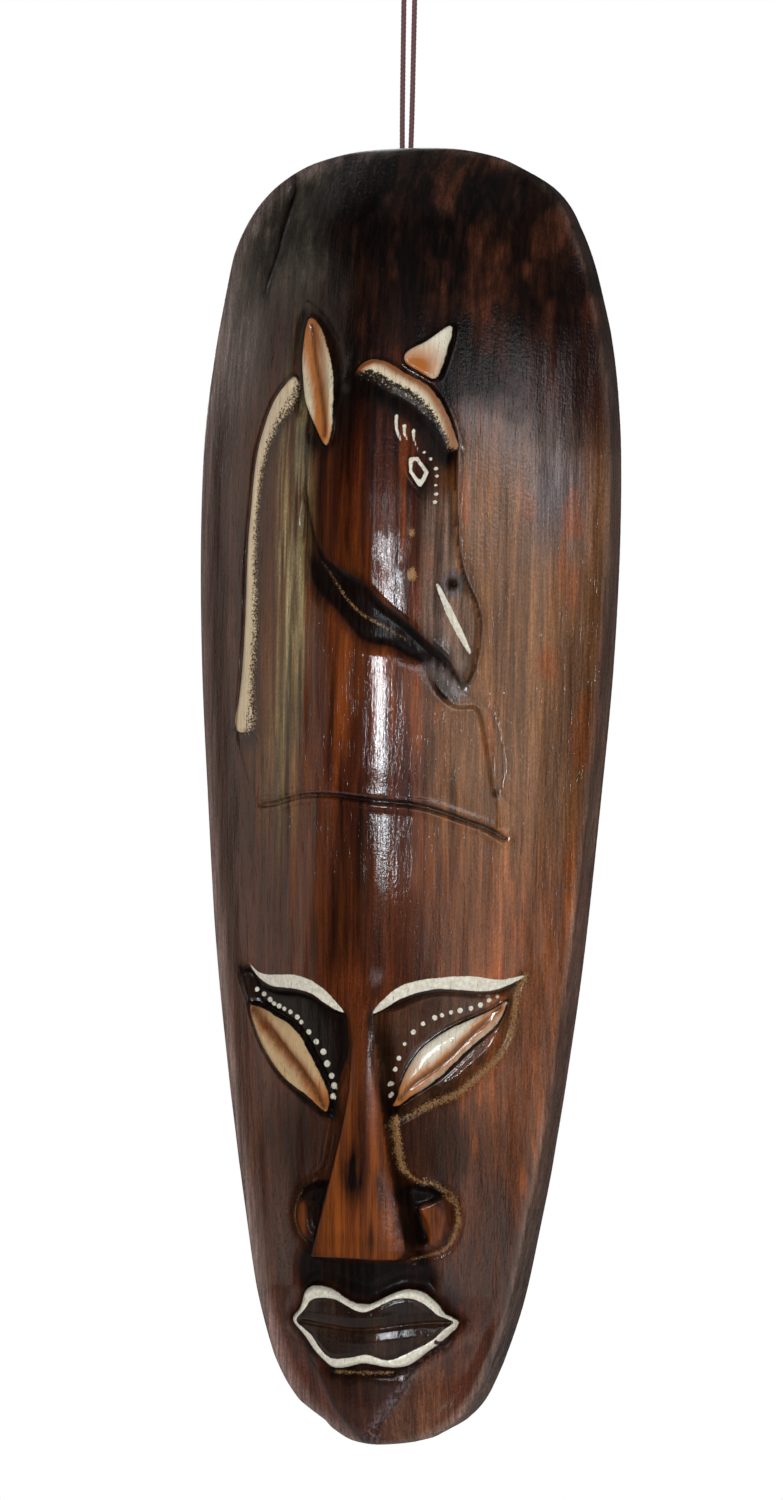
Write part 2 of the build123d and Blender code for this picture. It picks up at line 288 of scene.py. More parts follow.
mat_cord, N = new_material("cord_fibre")
vec = N.coords((1000, 1000, 1000))
fib = N.noise(vec, 2.2, 4, 0.6)
slow = N.noise(vec, 0.25, 2, 0.5)
base = N.mix(fib, srgb(74, 42, 42), srgb(126, 84, 80))
base = N.mix(N.ramp(slow, 0.35, 0.7), base, N.mix(0.35, base, srgb(98, 58, 50)))
# darker in the grooves between the twisted strands: painted shade
base = N.mix(N.ramp(N.attr("lobe"), 0.0, 0.55, 1.0, 0.0), base, srgb(38, 20, 20))
hair = N.noise(N.coords((3000, 3000, 900)), 1.0, 3, 0.6)
N.principled(base, N.ramp(fib, 0.2, 0.8, 0.62, 0.85), N.bump(hair, 0.5, 0.0002), Sheen_Weight=0.25, Sheen_Roughness=0.5)
for piece in [cord, knot] + tails:
    piece.data.materials.append(mat_cord)

# ---------------------------------------------------------------------------
# Numeric helpers for the carving
# ---------------------------------------------------------------------------


def cubic(x, y, xx):
    x, y = np.asarray(x, float), np.asarray(y, float)
    n = len(x)
    h = np.diff(x)
    A = np.zeros((n, n))
    b = np.zeros(n)
    A[0, 0] = A[-1, -1] = 1
    for i in range(1, n - 1):
        A[i, i - 1], A[i, i], A[i, i + 1] = h[i - 1], 2 * (h[i - 1] + h[i]), h[i]
        b[i] = 6 * ((y[i + 1] - y[i]) / h[i] - (y[i] - y[i - 1]) / h[i - 1])
    mm = np.linalg.solve(A, b)
    xx = np.asarray(xx, float)
    i = np.clip(np.searchsorted(x, xx) - 1, 0, n - 2)
    d, e = xx - x[i], x[i + 1] - xx
    return ((mm[i] * e ** 3 + mm[i + 1] * d ** 3) / (6 * h[i])
            + (y[i] / h[i] - mm[i] * h[i] / 6) * e + (y[i + 1] / h[i] - mm[i + 1] * h[i] / 6) * d)


def smooth(points, closed=False, per=8):
    """A rounded line through the given points."""
    P = np.array(points, float)
    if len(P) < 3:
        return P
    Q = np.vstack([P[-3:], P, P[:3]]) if closed else P
    t = np.r_[0, np.cumsum(np.hypot(*np.diff(Q, axis=0).T) ** 0.8 + 1e-6)]
    if closed:
        tt = np.linspace(t[3], t[3 + len(P)], per * len(P), endpoint=False)
    else:
        tt = np.linspace(t[0], t[-1], per * (len(P) - 1) + 1)
    return np.stack([cubic(t, Q[:, 0], tt), cubic(t, Q[:, 1], tt)], 1)


def sst(x, a, b):
    u = np.clip((x - a) / (b - a), 0, 1)
    return u * u * (3 - 2 * u)


def _hash(i, j, seed):
    h = (i.astype(np.int64) * 374761393 + j.astype(np.int64) * 668265263 + seed * 974634777) & 0xFFFFFFFF
    h = ((h ^ (h >> 13)) * 1274126177) & 0xFFFFFFFF
    h = h ^ (h >> 16)
    return (h & 0xFFFFFF) / float(0xFFFFFF)


def vnoise(u, v, seed=0):
    i, j = np.floor(u), np.floor(v)
    fu, fv = u - i, v - j
    fu, fv = fu * fu * (3 - 2 * fu), fv * fv * (3 - 2 * fv)
    a = _hash(i, j, seed) * (1 - fu) + _hash(i + 1, j, seed) * fu
    b = _hash(i, j + 1, seed) * (1 - fu) + _hash(i + 1, j + 1, seed) * fu
    return (a * (1 - fv) + b * fv) * 2 - 1


def fbm(u, v, seed=0, octaves=3):
    s, amp, tot = 0, 1.0, 0.0
    for k in range(octaves):
        s = s + amp * vnoise(u * 2 ** k, v * 2 ** k, seed + 17 * k)
        tot += amp
        amp *= 0.5
    return s / tot


# --- outline and section of the block -----------------------------------
OUTLINE = [(0.0, 0.0), (0.12, 2.8), (0.5, 6.0), (1.2, 9.6), (2.7, 14.2), (5.0, 19.8), (8.5, 25.0), (12.0, 29.4),
           (16.6, 34.2), (24.3, 39.7), (39.7, 46.2), (55.2, 50.8), (70.6, 54.1), (86.0, 57.0), (101.5, 59.9),
           (117.0, 62.3), (132.3, 64.6), (148.0, 66.7), (163.2, 68.7), (194.0, 72.2), (225.0, 75.0),
           (256.0, 77.6), (288.0, 80.1), (318.0, 81.7), (345.0, 82.5), (372.0, 82.5), (395.0, 81.6),
           (410.0, 80.0), (425.5, 77.4), (441.0, 74.0), (456.4, 69.9), (464.0, 67.1), (471.8, 63.4),
           (479.5, 58.2), (487.0, 50.0), (491.0, 43.2), (495.0, 34.8), (497.2, 27.5), (498.8, 20.0),
           (499.6, 12.5), (499.9, 6.5), (500.0, 0.0)]
_P = np.array([(a, z) for z, a in OUTLINE])
_M = np.vstack([_P[1:4][::-1] * [-1, 1], _P, _P[-4:-1][::-1] * [-1, 1]])
_t = np.r_[0, np.cumsum(np.hypot(*np.diff(_M, axis=0).T))]
_tt = np.linspace(_t[3], _t[2 + len(_P)], 2400)
EDGE = np.stack([cubic(_t, _M[:, 0], _tt), cubic(_t, _M[:, 1], _tt)], 1)
EDGE[0], EDGE[-1] = (0.0, 0.0), (0.0, H)
_EZ = np.maximum.accumulate(EDGE[:, 1])


def half(z):
    return np.interp(z, _EZ, EDGE[:, 0])


RIDGE = [(-20, 38), (0, 39.5), (20, 41.5), (45, 45.0), (73, 48.5), (100, 51.5), (125, 54.3), (165, 58), (230, 61),
         (300, 62.5), (360, 62), (410, 59), (450, 53), (480, 43.5), (500, 33), (530, 18)]
SIDE = [(0, 31.0), (8, 28), (25, 25), (60, 22.5), (120, 21.5), (200, 20.5), (250, 18.5), (300, 17), (400, 15.5),
        (450, 16.5), (470, 18.5), (500, 19)]
ROUND = [(0, 11.0), (20, 18), (60, 24), (120, 25), (200, 26), (300, 27), (400, 28), (450, 31), (500, 36)]
K, C = 0.577, 17.0


def table(tab, z):
    return np.interp(z, [p[0] for p in tab], [p[1] for p in tab])


def ridge(z):
    return cubic([p[0] for p in RIDGE], [p[1] for p in RIDGE], z)


def edge_distance(x, z):
    P = EDGE[::12]
    P = np.vstack([P, EDGE[-1:]])
    x = np.abs(x)
    best = np.full(x.shape, 1e9)
    for p, q in zip(P[:-1], P[1:]):
        v = q - p
        u = np.clip(((x - p[0]) * v[0] + (z - p[1]) * v[1]) / (v @ v + 1e-12), 0, 1)
        best = np.minimum(best, np.hypot(x - p[0] - u * v[0], z - p[1] - u * v[1]))
    return best


# ---------------------------------------------------------------------------
# Grid of the carved front
# ---------------------------------------------------------------------------
def heights():
    zones = [(0, 0.02, 0.02), (0.02, 0.1, 0.04), (0.1, 0.5, 0.1), (0.5, 2, 0.25), (2, 8, 0.5), (8, 28, 0.7),
             (28, 190, 0.56), (190, 236, 0.95), (236, 254, 0.6), (254, 434, 0.68), (434, 490, 0.85),
             (490, 497, 0.6), (497, 499, 0.3), (499, 499.8, 0.12), (499.8, 499.96, 0.05), (499.96, 500.0, 0.04)]
    out = [0.0]
    for a, b, s in zones:
        n = max(1, int(round((b - a) / s)))
        out += [a + (b - a) * (i + 1) / n for i in range(n)]
    return np.array(out)


ZS = heights()
NX = 241
s = np.linspace(-1, 1, NX)
G = 1.14 * s - 0.14 * s ** 3
A_ = np.maximum(half(ZS), 0.35)
X = A_[:, None] * G[None]
Z = np.repeat(ZS[:, None], NX, 1)
NZ = len(ZS)
x, z = X.ravel(), Z.ravel()
E = edge_distance(x, z)
E[(np.arange(NX * NZ) % NX == 0) | (np.arange(NX * NZ) % NX == NX - 1)] = 0.0


def _dist(idx, poly, closed):
    px, pz = x[idx], z[idx]
    P = np.vstack([poly, poly[:1]]) if closed else poly
    L = np.r_[0, np.cumsum(np.hypot(*np.diff(P, axis=0).T))]
    best = np.full(px.shape, 1e9)
    along = np.zeros(px.shape)
    side = np.zeros(px.shape)
    inside = np.zeros(px.shape, bool)
    for k, (p, q) in enumerate(zip(P[:-1], P[1:])):
        v = q - p
        n2 = v @ v + 1e-12
        u = np.clip(((px - p[0]) * v[0] + (pz - p[1]) * v[1]) / n2, 0, 1)
        dx, dz = px - p[0] - u * v[0], pz - p[1] - u * v[1]
        d = np.hypot(dx, dz)
        nearer = d < best
        best = np.where(nearer, d, best)
        along = np.where(nearer, (L[k] + u * math.sqrt(n2)) / L[-1], along)
        side = np.where(nearer, np.sign(v[0] * (pz - p[1]) - v[1] * (px - p[0])), side)
        if closed:
            cross = ((p[1] > pz) != (q[1] > pz))
            with np.errstate(divide="ignore", invalid="ignore"):
                xc = p[0] + (pz - p[1]) / (q[1] - p[1] + 1e-15) * (q[0] - p[0])
            inside ^= cross & (px < xc)
    return best, along, side, inside


def _near(poly, margin):
    lo, hi = poly.min(0) - margin, poly.max(0) + margin
    return np.nonzero((x > lo[0]) & (x < hi[0]) & (z > lo[1]) & (z < hi[1]))[0]


def area(points, margin=8.0, rounded=True):
    """Signed distance to a closed outline, positive inside."""
    poly = smooth(points, True) if rounded else np.array(points, float)
    idx = _near(poly, margin)
    out = np.full(x.shape, -margin)
    d, _, _, inside = _dist(idx, poly, True)
    out[idx] = np.where(inside, d, np.maximum(-d, -margin))
    return out


def line(points, margin=8.0, rounded=True):
    """Distance to an open line, how far along it, and which side."""
    poly = smooth(points) if rounded else np.array(points, float)
    idx = _near(poly, margin)
    out, al, sd = np.full(x.shape, float(margin)), np.zeros(x.shape), np.zeros(x.shape)
    d, a, sg, _ = _dist(idx, poly, False)
    out[idx], al[idx], sd[idx] = np.minimum(d, margin), a, sg
    return out, al, sd


def gauss(d, w):
    return np.exp(-(d / w) ** 2)


def dome(d, w):
    u = np.clip(d / w, 0, 1)
    return np.sqrt(np.clip(1 - (1 - u) ** 2, 0, 1))


# --- lines of the carving (x, height above the chin) -----------------------
CRACK = [(-42.3, 490.0), (-44.6, 482.6), (-47.6, 469.2), (-49.4, 458.2), (-51.4, 450.0), (-51.6, 438.3)]
EAR_L = [(-28.1, 431.6), (-30.3, 424.8), (-30.9, 416.0), (-29.4, 405.8), (-25.9, 396.0), (-21.0, 387.8),
         (-16.2, 381.7), (-13.9, 387.5), (-13.9, 397.0), (-15.4, 408.1), (-18.5, 418.6), (-22.6, 427.0)]
EAR_L_MID = [(-27.2, 428.3), (-24.4, 414.2), (-19.8, 400.1), (-17.0, 385.6)]
EAR_L_ARC = [(-31.0, 437.5), (-26.0, 434.6), (-21.6, 430.6), (-15.5, 422.0)]
EAR_R = [(28.6, 427.3), (20.5, 421.5), (13.0, 415.9), (13.1, 413.4), (16.5, 410.6), (19.8, 408.7), (23.9, 406.9),
         (26.8, 413.5), (28.6, 421.5)]
BAND_TOP = [(-5.0, 411.1), (-2.2, 413.6), (3.6, 414.2), (9.0, 411.8), (15.5, 408.1), (20.5, 405.2), (25.2, 400.0),
            (28.6, 393.7), (31.2, 386.3), (31.7, 380.5)]
BAND_LOW = [(-5.0, 409.0), (-0.3, 407.0), (7.9, 402.7), (15.9, 398.4), (22.4, 392.6), (27.4, 386.1), (30.6, 380.5)]
NAPE_L = [(-34.7, 409.4), (-39.1, 406.5), (-44.2, 400.7), (-48.3, 392.0), (-51.4, 382.4), (-53.2, 370.5),
          (-54.0, 360.1), (-55.1, 346.2), (-55.5, 327.7), (-56.1, 308.4), (-58.4, 285.2), (-59.3, 273.6)]
NAPE_R = [(-32.6, 405.5), (-33.2, 399.2), (-39.2, 391.5), (-44.3, 384.0), (-47.4, 373.7), (-49.4, 359.9),
          (-49.8, 342.6), (-48.9, 308.3), (-49.6, 285.0), (-50.6, 273.6)]
HEAD = [(-5.0, 411.1), (-1.0, 413.6), (3.6, 414.4), (9.0, 412.2), (15.5, 408.6), (20.7, 405.6), (25.4, 400.6),
        (28.9, 394.0), (31.5, 386.0), (31.9, 379.0), (31.8, 372.7), (32.3, 359.0), (33.7, 342.2), (35.8, 332.8),
        (39.7, 323.2), (41.4, 315.7), (41.0, 307.0), (39.2, 297.0), (35.6, 291.5), (32.2, 297.4), (27.0, 304.1),
        (21.8, 309.6), (14.7, 316.2), (7.0, 322.5), (0.4, 329.2), (-10.6, 334.9), (-18.1, 341.1), (-22.7, 351.4),
        (-25.6, 362.2), (-25.6, 372.0), (-25.6, 384.0), (-27.5, 394.0), (-29.6, 400.0), (-22.0, 404.0), (-13.0, 406.0)]
NECK = [(-34.7, 409.6), (-39.1, 406.7), (-44.2, 400.9), (-48.3, 392.2), (-51.4, 382.4), (-53.2, 370.5),
        (-54.0, 360.1), (-55.1, 346.2), (-55.5, 327.7), (-56.1, 308.4), (-58.4, 285.2), (-59.3, 271.6),
        (-55.0, 258.0), (-47.6, 246.4), (-37.2, 246.4), (-29.7, 248.2), (-12.7, 249.4), (3.3, 248.0), (15.3, 247.0),
        (25.7, 245.0), (36.0, 241.2), (47.4, 236.6), (46.7, 254.8), (45.3, 264.2), (43.5, 274.7), (40.2, 284.0),
        (34.1, 284.0), (30.0, 286.8), (25.5, 293.5), (21.9, 300.2), (16.7, 302.7), (10.2, 306.2), (2.8, 307.4),
        (-3.5, 312.0), (-11.2, 320.5), (-20.8, 328.6), (-24.7, 340.1), (-27.5, 351.6), (-26.6, 363.2),
        (-27.2, 376.0), (-28.5, 388.0), (-31.5, 398.0)]
JAW_LOW = [(-26.0, 362.4), (-27.7, 351.6), (-25.0, 340.1), (-20.8, 328.6), (-11.2, 320.0), (-3.5, 311.6),
           (2.8, 307.2), (10.2, 306.0), (16.7, 302.5), (21.9, 299.8), (25.5, 293.2), (30.0, 286.6), (34.8, 283.9)]
JAW_UP = [(-26.0, 362.4), (-22.7, 351.4), (-18.1, 341.1), (-10.6, 334.9), (0.4, 329.2), (7.0, 322.5), (14.7, 316.2),
          (21.8, 309.6), (27.0, 304.1), (32.2, 297.4), (35.6, 290.0)]
JAW_RIDGE = [(-18.5, 337.5), (-13.7, 332.2), (-3.8, 320.5), (4.6, 315.0), (10.1, 312.0), (16.0, 308.5)]
EYE_H = [(17.2, 376.4), (19.5, 376.6), (22.9, 371.6), (22.0, 368.8), (20.8, 366.5), (17.4, 371.5)]
EYE_H_CREASE = [(14.3, 374.8), (17.0, 368.1), (22.0, 362.2)]
LASHES = [[(11.6, 392.5), (11.8, 388.0), (13.5, 383.1)], [(14.6, 388.8), (14.7, 386.0), (15.9, 383.4)],
          [(17.8, 387.2), (18.2, 383.5), (19.9, 379.1)]]
DOTS_H = [(21.8, 379.0), (24.0, 376.6), (25.8, 373.0), (26.2, 370.2), (26.0, 366.8), (26.1, 363.4), (25.8, 360.4)]
NOSTRIL_H = (32.5, 329.7)
MOUTH_H = [(27.1, 329.5), (30.3, 322.1), (34.5, 312.8), (38.7, 303.6)]
NECK_R = [(35.7, 290.0), (40.5, 284.4), (43.4, 274.7), (45.2, 264.2), (46.0, 254.8), (46.8, 238.5)]
NECK_S = [(40.9, 288.2), (46.1, 279.7), (48.6, 270.3), (49.7, 259.7), (47.6, 251.0)]
NECK_T = [(47.1, 251.0), (51.0, 249.0), (54.9, 245.5)]
BASE = [(-46.2, 244.8), (-37.2, 246.2), (-29.7, 248.3), (-12.7, 249.5), (3.3, 247.9), (15.3, 247.0), (25.7, 245.0),
        (36.0, 241.2), (43.2, 238.5), (50.3, 234.2)]
BROW_L = [(-55.5, 187.2), (-50.0, 182.5), (-42.8, 179.9), (-31.3, 180.6), (-20.1, 178.5), (-12.7, 174.0),
          (-8.9, 170.4), (-5.6, 166.8), (-13.6, 169.4), (-20.1, 172.8), (-30.3, 174.9), (-40.8, 175.2), (-47.9, 178.4),
          (-52.2, 182.7)]
BROW_R = [(6.3, 167.6), (9.2, 172.6), (15.8, 178.2), (23.0, 180.4), (31.5, 181.6), (42.1, 181.7), (51.2, 181.0),
          (56.9, 182.2), (51.8, 178.6), (44.8, 176.4), (34.9, 176.7), (25.0, 176.6), (18.1, 174.3), (12.1, 171.2)]
SOCK_L_UP = [(-57.9, 180.7), (-52.2, 181.6), (-47.9, 177.6), (-40.8, 174.6), (-30.3, 174.2), (-20.1, 172.0),
             (-13.6, 168.8), (-6.2, 166.4), (-5.3, 160.9), (-5.0, 154.1), (-7.6, 145.9), (-10.4, 136.2),
             (-12.4, 127.2)]
SOCK_L_LOW = [(-57.9, 180.7), (-53.8, 168.9), (-47.6, 157.3), (-36.1, 142.0), (-23.5, 132.3), (-12.4, 127.2)]
SOCK_R_UP = [(12.3, 125.3), (12.0, 129.1), (10.0, 134.8), (8.0, 143.5), (6.3, 151.1), (6.4, 159.9), (5.9, 166.8),
             (12.1, 170.6), (18.1, 173.6), (25.0, 175.9), (34.9, 176.0), (44.8, 175.7), (51.8, 178.0), (57.2, 182.0)]
SOCK_R_LOW = [(57.2, 182.0), (54.6, 175.2), (53.2, 164.1), (48.5, 151.5), (41.9, 144.2), (34.0, 137.0),
              (25.3, 133.1), (18.3, 128.8), (12.3, 125.3)]
BALL_L = [(-51.5, 167.6), (-43.1, 165.1), (-33.5, 161.3), (-27.6, 156.3), (-22.4, 148.6), (-17.7, 141.1),
          (-13.9, 128.6), (-22.6, 133.3), (-33.8, 139.8), (-43.2, 149.3), (-49.4, 159.3)]
BALL_L_MID = [(-49.5, 165.6), (-37.2, 153.3), (-26.4, 143.0), (-15.2, 130.4)]
BALL_R = [(12.3, 132.0), (13.5, 140.1), (16.6, 147.4), (19.4, 152.0), (25.2, 157.7), (32.2, 162.4), (39.4, 166.0),
          (45.6, 169.3), (50.7, 172.4), (47.2, 164.0), (40.8, 157.1), (35.1, 151.3), (29.4, 145.2), (22.8, 139.4),
          (17.1, 135.3)]
BALL_R_MID = [(13.6, 134.6), (17.5, 139.4), (26.9, 146.8), (36.1, 156.4), (48.5, 169.8)]
DOTS_L = [(-48.9, 173.2), (-45.2, 171.5), (-42.2, 169.5), (-40.2, 168.1), (-37.7, 167.3), (-35.2, 166.4),
          (-32.2, 165.4), (-28.7, 163.7), (-26.8, 161.9), (-23.2, 158.3), (-19.6, 154.8), (-16.4, 151.2),
          (-14.6, 146.7), (-12.6, 142.2), (-11.5, 138.5), (-12.0, 134.4)]
DOTS_R = [(47.8, 174.0), (45.1, 172.5), (42.2, 170.6), (38.9, 169.4), (35.2, 168.6), (32.1, 167.8), (29.0, 166.7),
          (26.6, 165.7), (22.5, 163.4), (19.1, 160.1), (16.1, 155.5), (14.0, 150.1), (12.5, 145.9), (11.0, 140.6),
          (11.0, 136.4)]
NOSE_L = [(-2.0, 176.0), (-2.6, 168.0), (-2.3, 155.5), (-3.3, 138.4), (-6.4, 122.0), (-9.9, 107.4), (-14.0, 91.0),
          (-18.5, 73.8)]
NOSE_R = [(6.4, 176.0), (7.1, 167.9), (8.1, 155.9), (9.8, 138.9), (11.6, 122.0), (13.6, 108.5), (17.3, 93.3),
          (20.4, 78.2)]
NOSE_BASE = [(-18.5, 73.3), (-8.0, 73.9), (1.0, 74.0), (10.0, 73.8), (16.4, 74.2), (20.6, 78.0)]
CHEEK_R = [(13.2, 127.9), (13.8, 121.8), (15.1, 113.0), (16.6, 107.7), (20.6, 103.8), (26.1, 103.1), (29.8, 100.5),
           (35.2, 93.9)]
WING_R = [(13.0, 76.2), (22.0, 74.9), (27.9, 76.6), (30.4, 78.2), (33.2, 82.8), (34.6, 88.1), (34.7, 93.1),
          (33.4, 98.1), (30.2, 101.0), (23.0, 103.4), (13.0, 102.0)]
RIM_R = [(26.1, 103.0), (30.6, 100.8), (33.4, 98.1), (34.7, 93.1), (34.6, 88.1), (33.2, 82.8), (30.4, 78.2),
         (27.9, 76.6), (22.0, 74.7), (17.8, 73.4)]
CRES_R = [(15.2, 99.2), (19.0, 102.0), (23.0, 103.0), (30.2, 99.5), (26.0, 95.9), (19.0, 94.6)]
HOLE_R = [(17.4, 93.1), (21.4, 93.3), (24.4, 80.5), (19.5, 82.0)]
FACET_R = [(23.4, 94.8), (29.4, 94.2), (31.0, 87.0), (27.8, 79.4), (25.4, 81.4)]
WING_L = [(-11.0, 75.6), (-24.9, 77.6), (-28.8, 81.8), (-30.1, 87.1), (-29.0, 92.7), (-26.2, 98.0), (-20.4, 101.2),
          (-11.0, 101.2)]
RIM_L = [(-26.4, 97.5), (-29.0, 92.7), (-30.1, 87.1), (-28.8, 81.8), (-24.9, 78.0)]
CRES_L = [(-26.6, 97.6), (-20.4, 101.2), (-12.5, 100.4), (-12.5, 96.0), (-20.0, 95.0), (-25.0, 94.5)]
HOLE_L = [(-21.6, 93.0), (-15.0, 93.5), (-15.5, 78.5), (-19.6, 80.5)]
PHILTRUM = [(-27.5, 72.0), (22.6, 73.2), (24.5, 63.5), (16.5, 64.0), (7.0, 59.8), (0.0, 58.4), (-10.0, 61.7),
            (-18.0, 63.6), (-27.0, 60.5)]
LIP_OUT = [(-32.3, 46.9), (-29.5, 50.6), (-27.4, 54.6), (-25.4, 59.1), (-20.0, 61.5), (-14.8, 61.2), (-10.1, 59.7),
           (-3.4, 56.5), (2.2, 56.2), (6.1, 57.8), (10.9, 60.4), (16.3, 62.3), (21.5, 61.6), (25.3, 59.0),
           (28.2, 55.4), (29.6, 52.9), (33.8, 49.4), (30.8, 45.0), (26.7, 40.6), (24.4, 38.7), (19.9, 35.0),
           (14.6, 32.2), (5.4, 32.5), (-0.4, 33.0), (-6.7, 31.3), (-13.9, 30.4), (-17.1, 32.1), (-22.2, 36.1),
           (-27.4, 41.7)]
LIP_IN = [(-29.6, 46.6), (-26.1, 51.0), (-22.3, 55.7), (-16.3, 57.3), (-10.8, 57.3), (-4.7, 54.8), (0.8, 53.2),
          (5.6, 55.1), (10.9, 57.9), (16.2, 59.2), (20.4, 58.4), (24.7, 55.3), (28.0, 52.2), (32.4, 49.4),
          (30.4, 47.6), (26.8, 43.9), (20.1, 39.6), (14.7, 36.6), (9.1, 34.9), (2.1, 36.7), (-2.8, 35.7),
          (-7.9, 34.6), (-13.8, 34.3), (-18.4, 37.3), (-24.4, 43.3)]
LIP_GAP = [(27.0, 42.0), (30.5, 45.0)]
MOUTH = [(-29.6, 46.7), (-14.2, 46.3), (-0.3, 46.1), (14.0, 48.2), (27.6, 49.4), (35.9, 49.3)]
CHIN_CREASE = [(-14.4, 28.2), (-1.7, 28.9), (9.9, 29.5)]
CHIN_L = [(-33.8, 47.0), (-27.4, 37.5), (-19.6, 24.4), (-12.9, 13.2), (-6.3, 6.2), (-1.8, 0.5)]
CHIN_R = [(30.0, 42.5), (27.1, 38.8), (19.0, 32.0), (13.0, 20.4), (5.5, 9.6), (0.4, 0.5)]

# ---------------------------------------------------------------------------
# Carving: the block's front, then each cut and rise
# ---------------------------------------------------------------------------
R0 = ridge(z)
gable = R0 - K * (np.sqrt(x ** 2 + C * C) - C)
wall = np.minimum(table(SIDE, z), 0.9 * gable)
u = np.clip(1 - E / table(ROUND, z), 0, 1)
D = wall + (gable - wall) * np.sqrt(np.clip(1 - u ** 2.2, 0, 1))
D0 = D.copy()
keep = sst(E, 0.3, 7.0)

hand = 0.55 * fbm(x / 34.0, z / 80.0, 3) + 0.22 * fbm(x / 7.0, z / 55.0, 9) + 0.10 * vnoise(x / 3.2, z / 22.0, 21)
relief = hand.copy()

# horse
sdHead = area(HEAD)
sdNeck = area(NECK)
by_jaw = sst(34.0 - x, 0.0, 10.0) * sst(365.0 - z, 0.0, 12.0)
by_top = sst(-4.0 - x, 0.0, 5.0) * sst(z, 388.0, 396.0)
head_step = sst(sdHead, -0.5, 2.4) * (1 - by_top) + sst(sdHead, -7.9, 7.0) * by_top
up_head = (3.0 * head_step * (1 - by_jaw) + 2.6 * sst(sdHead, -3.0, 2.6) * by_jaw
           + 1.0 * sst(sdHead, 2.0, 15.0))
tall = (2.0 - 1.1 * sst(x, 0.0, 34.0)) * (1 - 0.85 * sst(-x, 34.0, 50.0) * sst(276.0 - z, 0.0, 10.0))
jaw_side = sst(z, 284.0, 300.0) * sst(x, -30.0, -24.0)
up_neck = tall * (sst(sdNeck, -0.4, 1.6) * (1 - jaw_side) + sst(sdNeck, -2.4, 5.0) * jaw_side) + 0.5 * sst(sdNeck, 2.0, 14.0)
bridge = sst(6.0 - np.abs(x + 26.5), 0.0, 3.0) * sst(z, 358.0, 366.0) * sst(402.0 - z, 0.0, 10.0)
relief += np.maximum(np.maximum(up_head, up_neck), 2.6 * bridge)
out_head = -sdHead
relief -= 0.25 * gauss(np.maximum(out_head, 0), 2.2) * (out_head > 0) * (sdNeck < 0) * (x > 20)
NAPE = NAPE_L + NAPE_R[::-1]
sdNape = area(NAPE)
relief += 0.7 * sst(sdNape, -0.5, 2.4) * sst(-area(EAR_L), 0.0, 2.5)
nl, nla, nls = line(NAPE_L)
relief -= 0.5 * gauss(nl - 0.7, 0.9) * (sdNape < 0)
JAW = JAW_UP + JAW_LOW[::-1][1:-1]
sdJaw = area(JAW)
relief -= 0.5 * sst(sdJaw, -2.0, 4.0)
jr, jra, _ = line(JAW_RIDGE)
relief += 0.22 * gauss(jr, 2.0) * sst(jra, 0.15, 0.4) * sst(1 - jra, 0.0, 0.25)
sdEarL = area(EAR_L)
em, ema, ems = line(EAR_L_MID)
relief += 2.6 * sst(sdEarL, -0.5, 0.7) - 2.1 * sst(sdEarL, 0.6, 5.0) - 0.8 * gauss(em, 0.9)
relief -= 0.7 * gauss(sdEarL + 2.6, 2.4) * (sdEarL < 0)
arc, _, _ = line(EAR_L_ARC)
relief += 0.5 * gauss(arc, 0.8)
sdEarR = area(EAR_R)
relief += 3.4 * sst(sdEarR, -1.0, 0.7) - 1.2 * sst(sdEarR, 0.8, 6.0)
BAND = BAND_TOP + BAND_LOW[::-1]
sdBand = area(BAND)
relief += 0.65 * sst(sdBand, -0.4, 2.6)
bl, bla, bls = line(BAND_LOW)
relief -= 0.25 * gauss(bl - 1.4, 2.2) * (sdBand < 0)
sdEyeH = area(EYE_H, rounded=False)
ec, _, _ = line(EYE_H_CREASE)
relief += 0.5 * dome(sdEyeH + 1.2, 3.0) - 0.5 * gauss(ec, 0.9)
rn = np.hypot(x - NOSTRIL_H[0], (z - NOSTRIL_H[1]) / 1.2)
relief += 0.7 * gauss(rn - 2.6, 1.0) - 1.3 * gauss(rn, 1.7)
mh, mha, _ = line(MOUTH_H)
relief -= 0.9 * gauss(mh, 0.9)
nr, nra, _ = line(NECK_R)
relief -= 0.22 * gauss(nr, 0.8)
ns, nsa, _ = line(NECK_S)
relief -= 0.32 * gauss(ns, 0.9) * sst(nsa, 0, 0.1)
nt, _, _ = line(NECK_T)
relief -= 0.25 * gauss(nt, 0.8)
bs, bsa, bss = line(BASE)
relief -= 1.7 * gauss(bs, 0.95) * (0.5 + 0.5 * sst(bsa, 0.2, 0.6))
relief += 0.5 * gauss(bs - 2.0, 1.4) * (z < 249.0)
# crown: drying crack and the lump beside it
ck, cka, cks = line(CRACK, 14.0)
fade = sst(1 - cka, 0.0, 0.45)
relief -= 2.3 * gauss(ck, 1.1 + 0.5 * (1 - cka)) * fade
relief -= 1.0 * gauss(np.maximum(ck, 0), 9.0) * (cks < 0) * fade * (ck < 13.9)
relief -= 0.9 * gauss(ck, 4.0) * fade

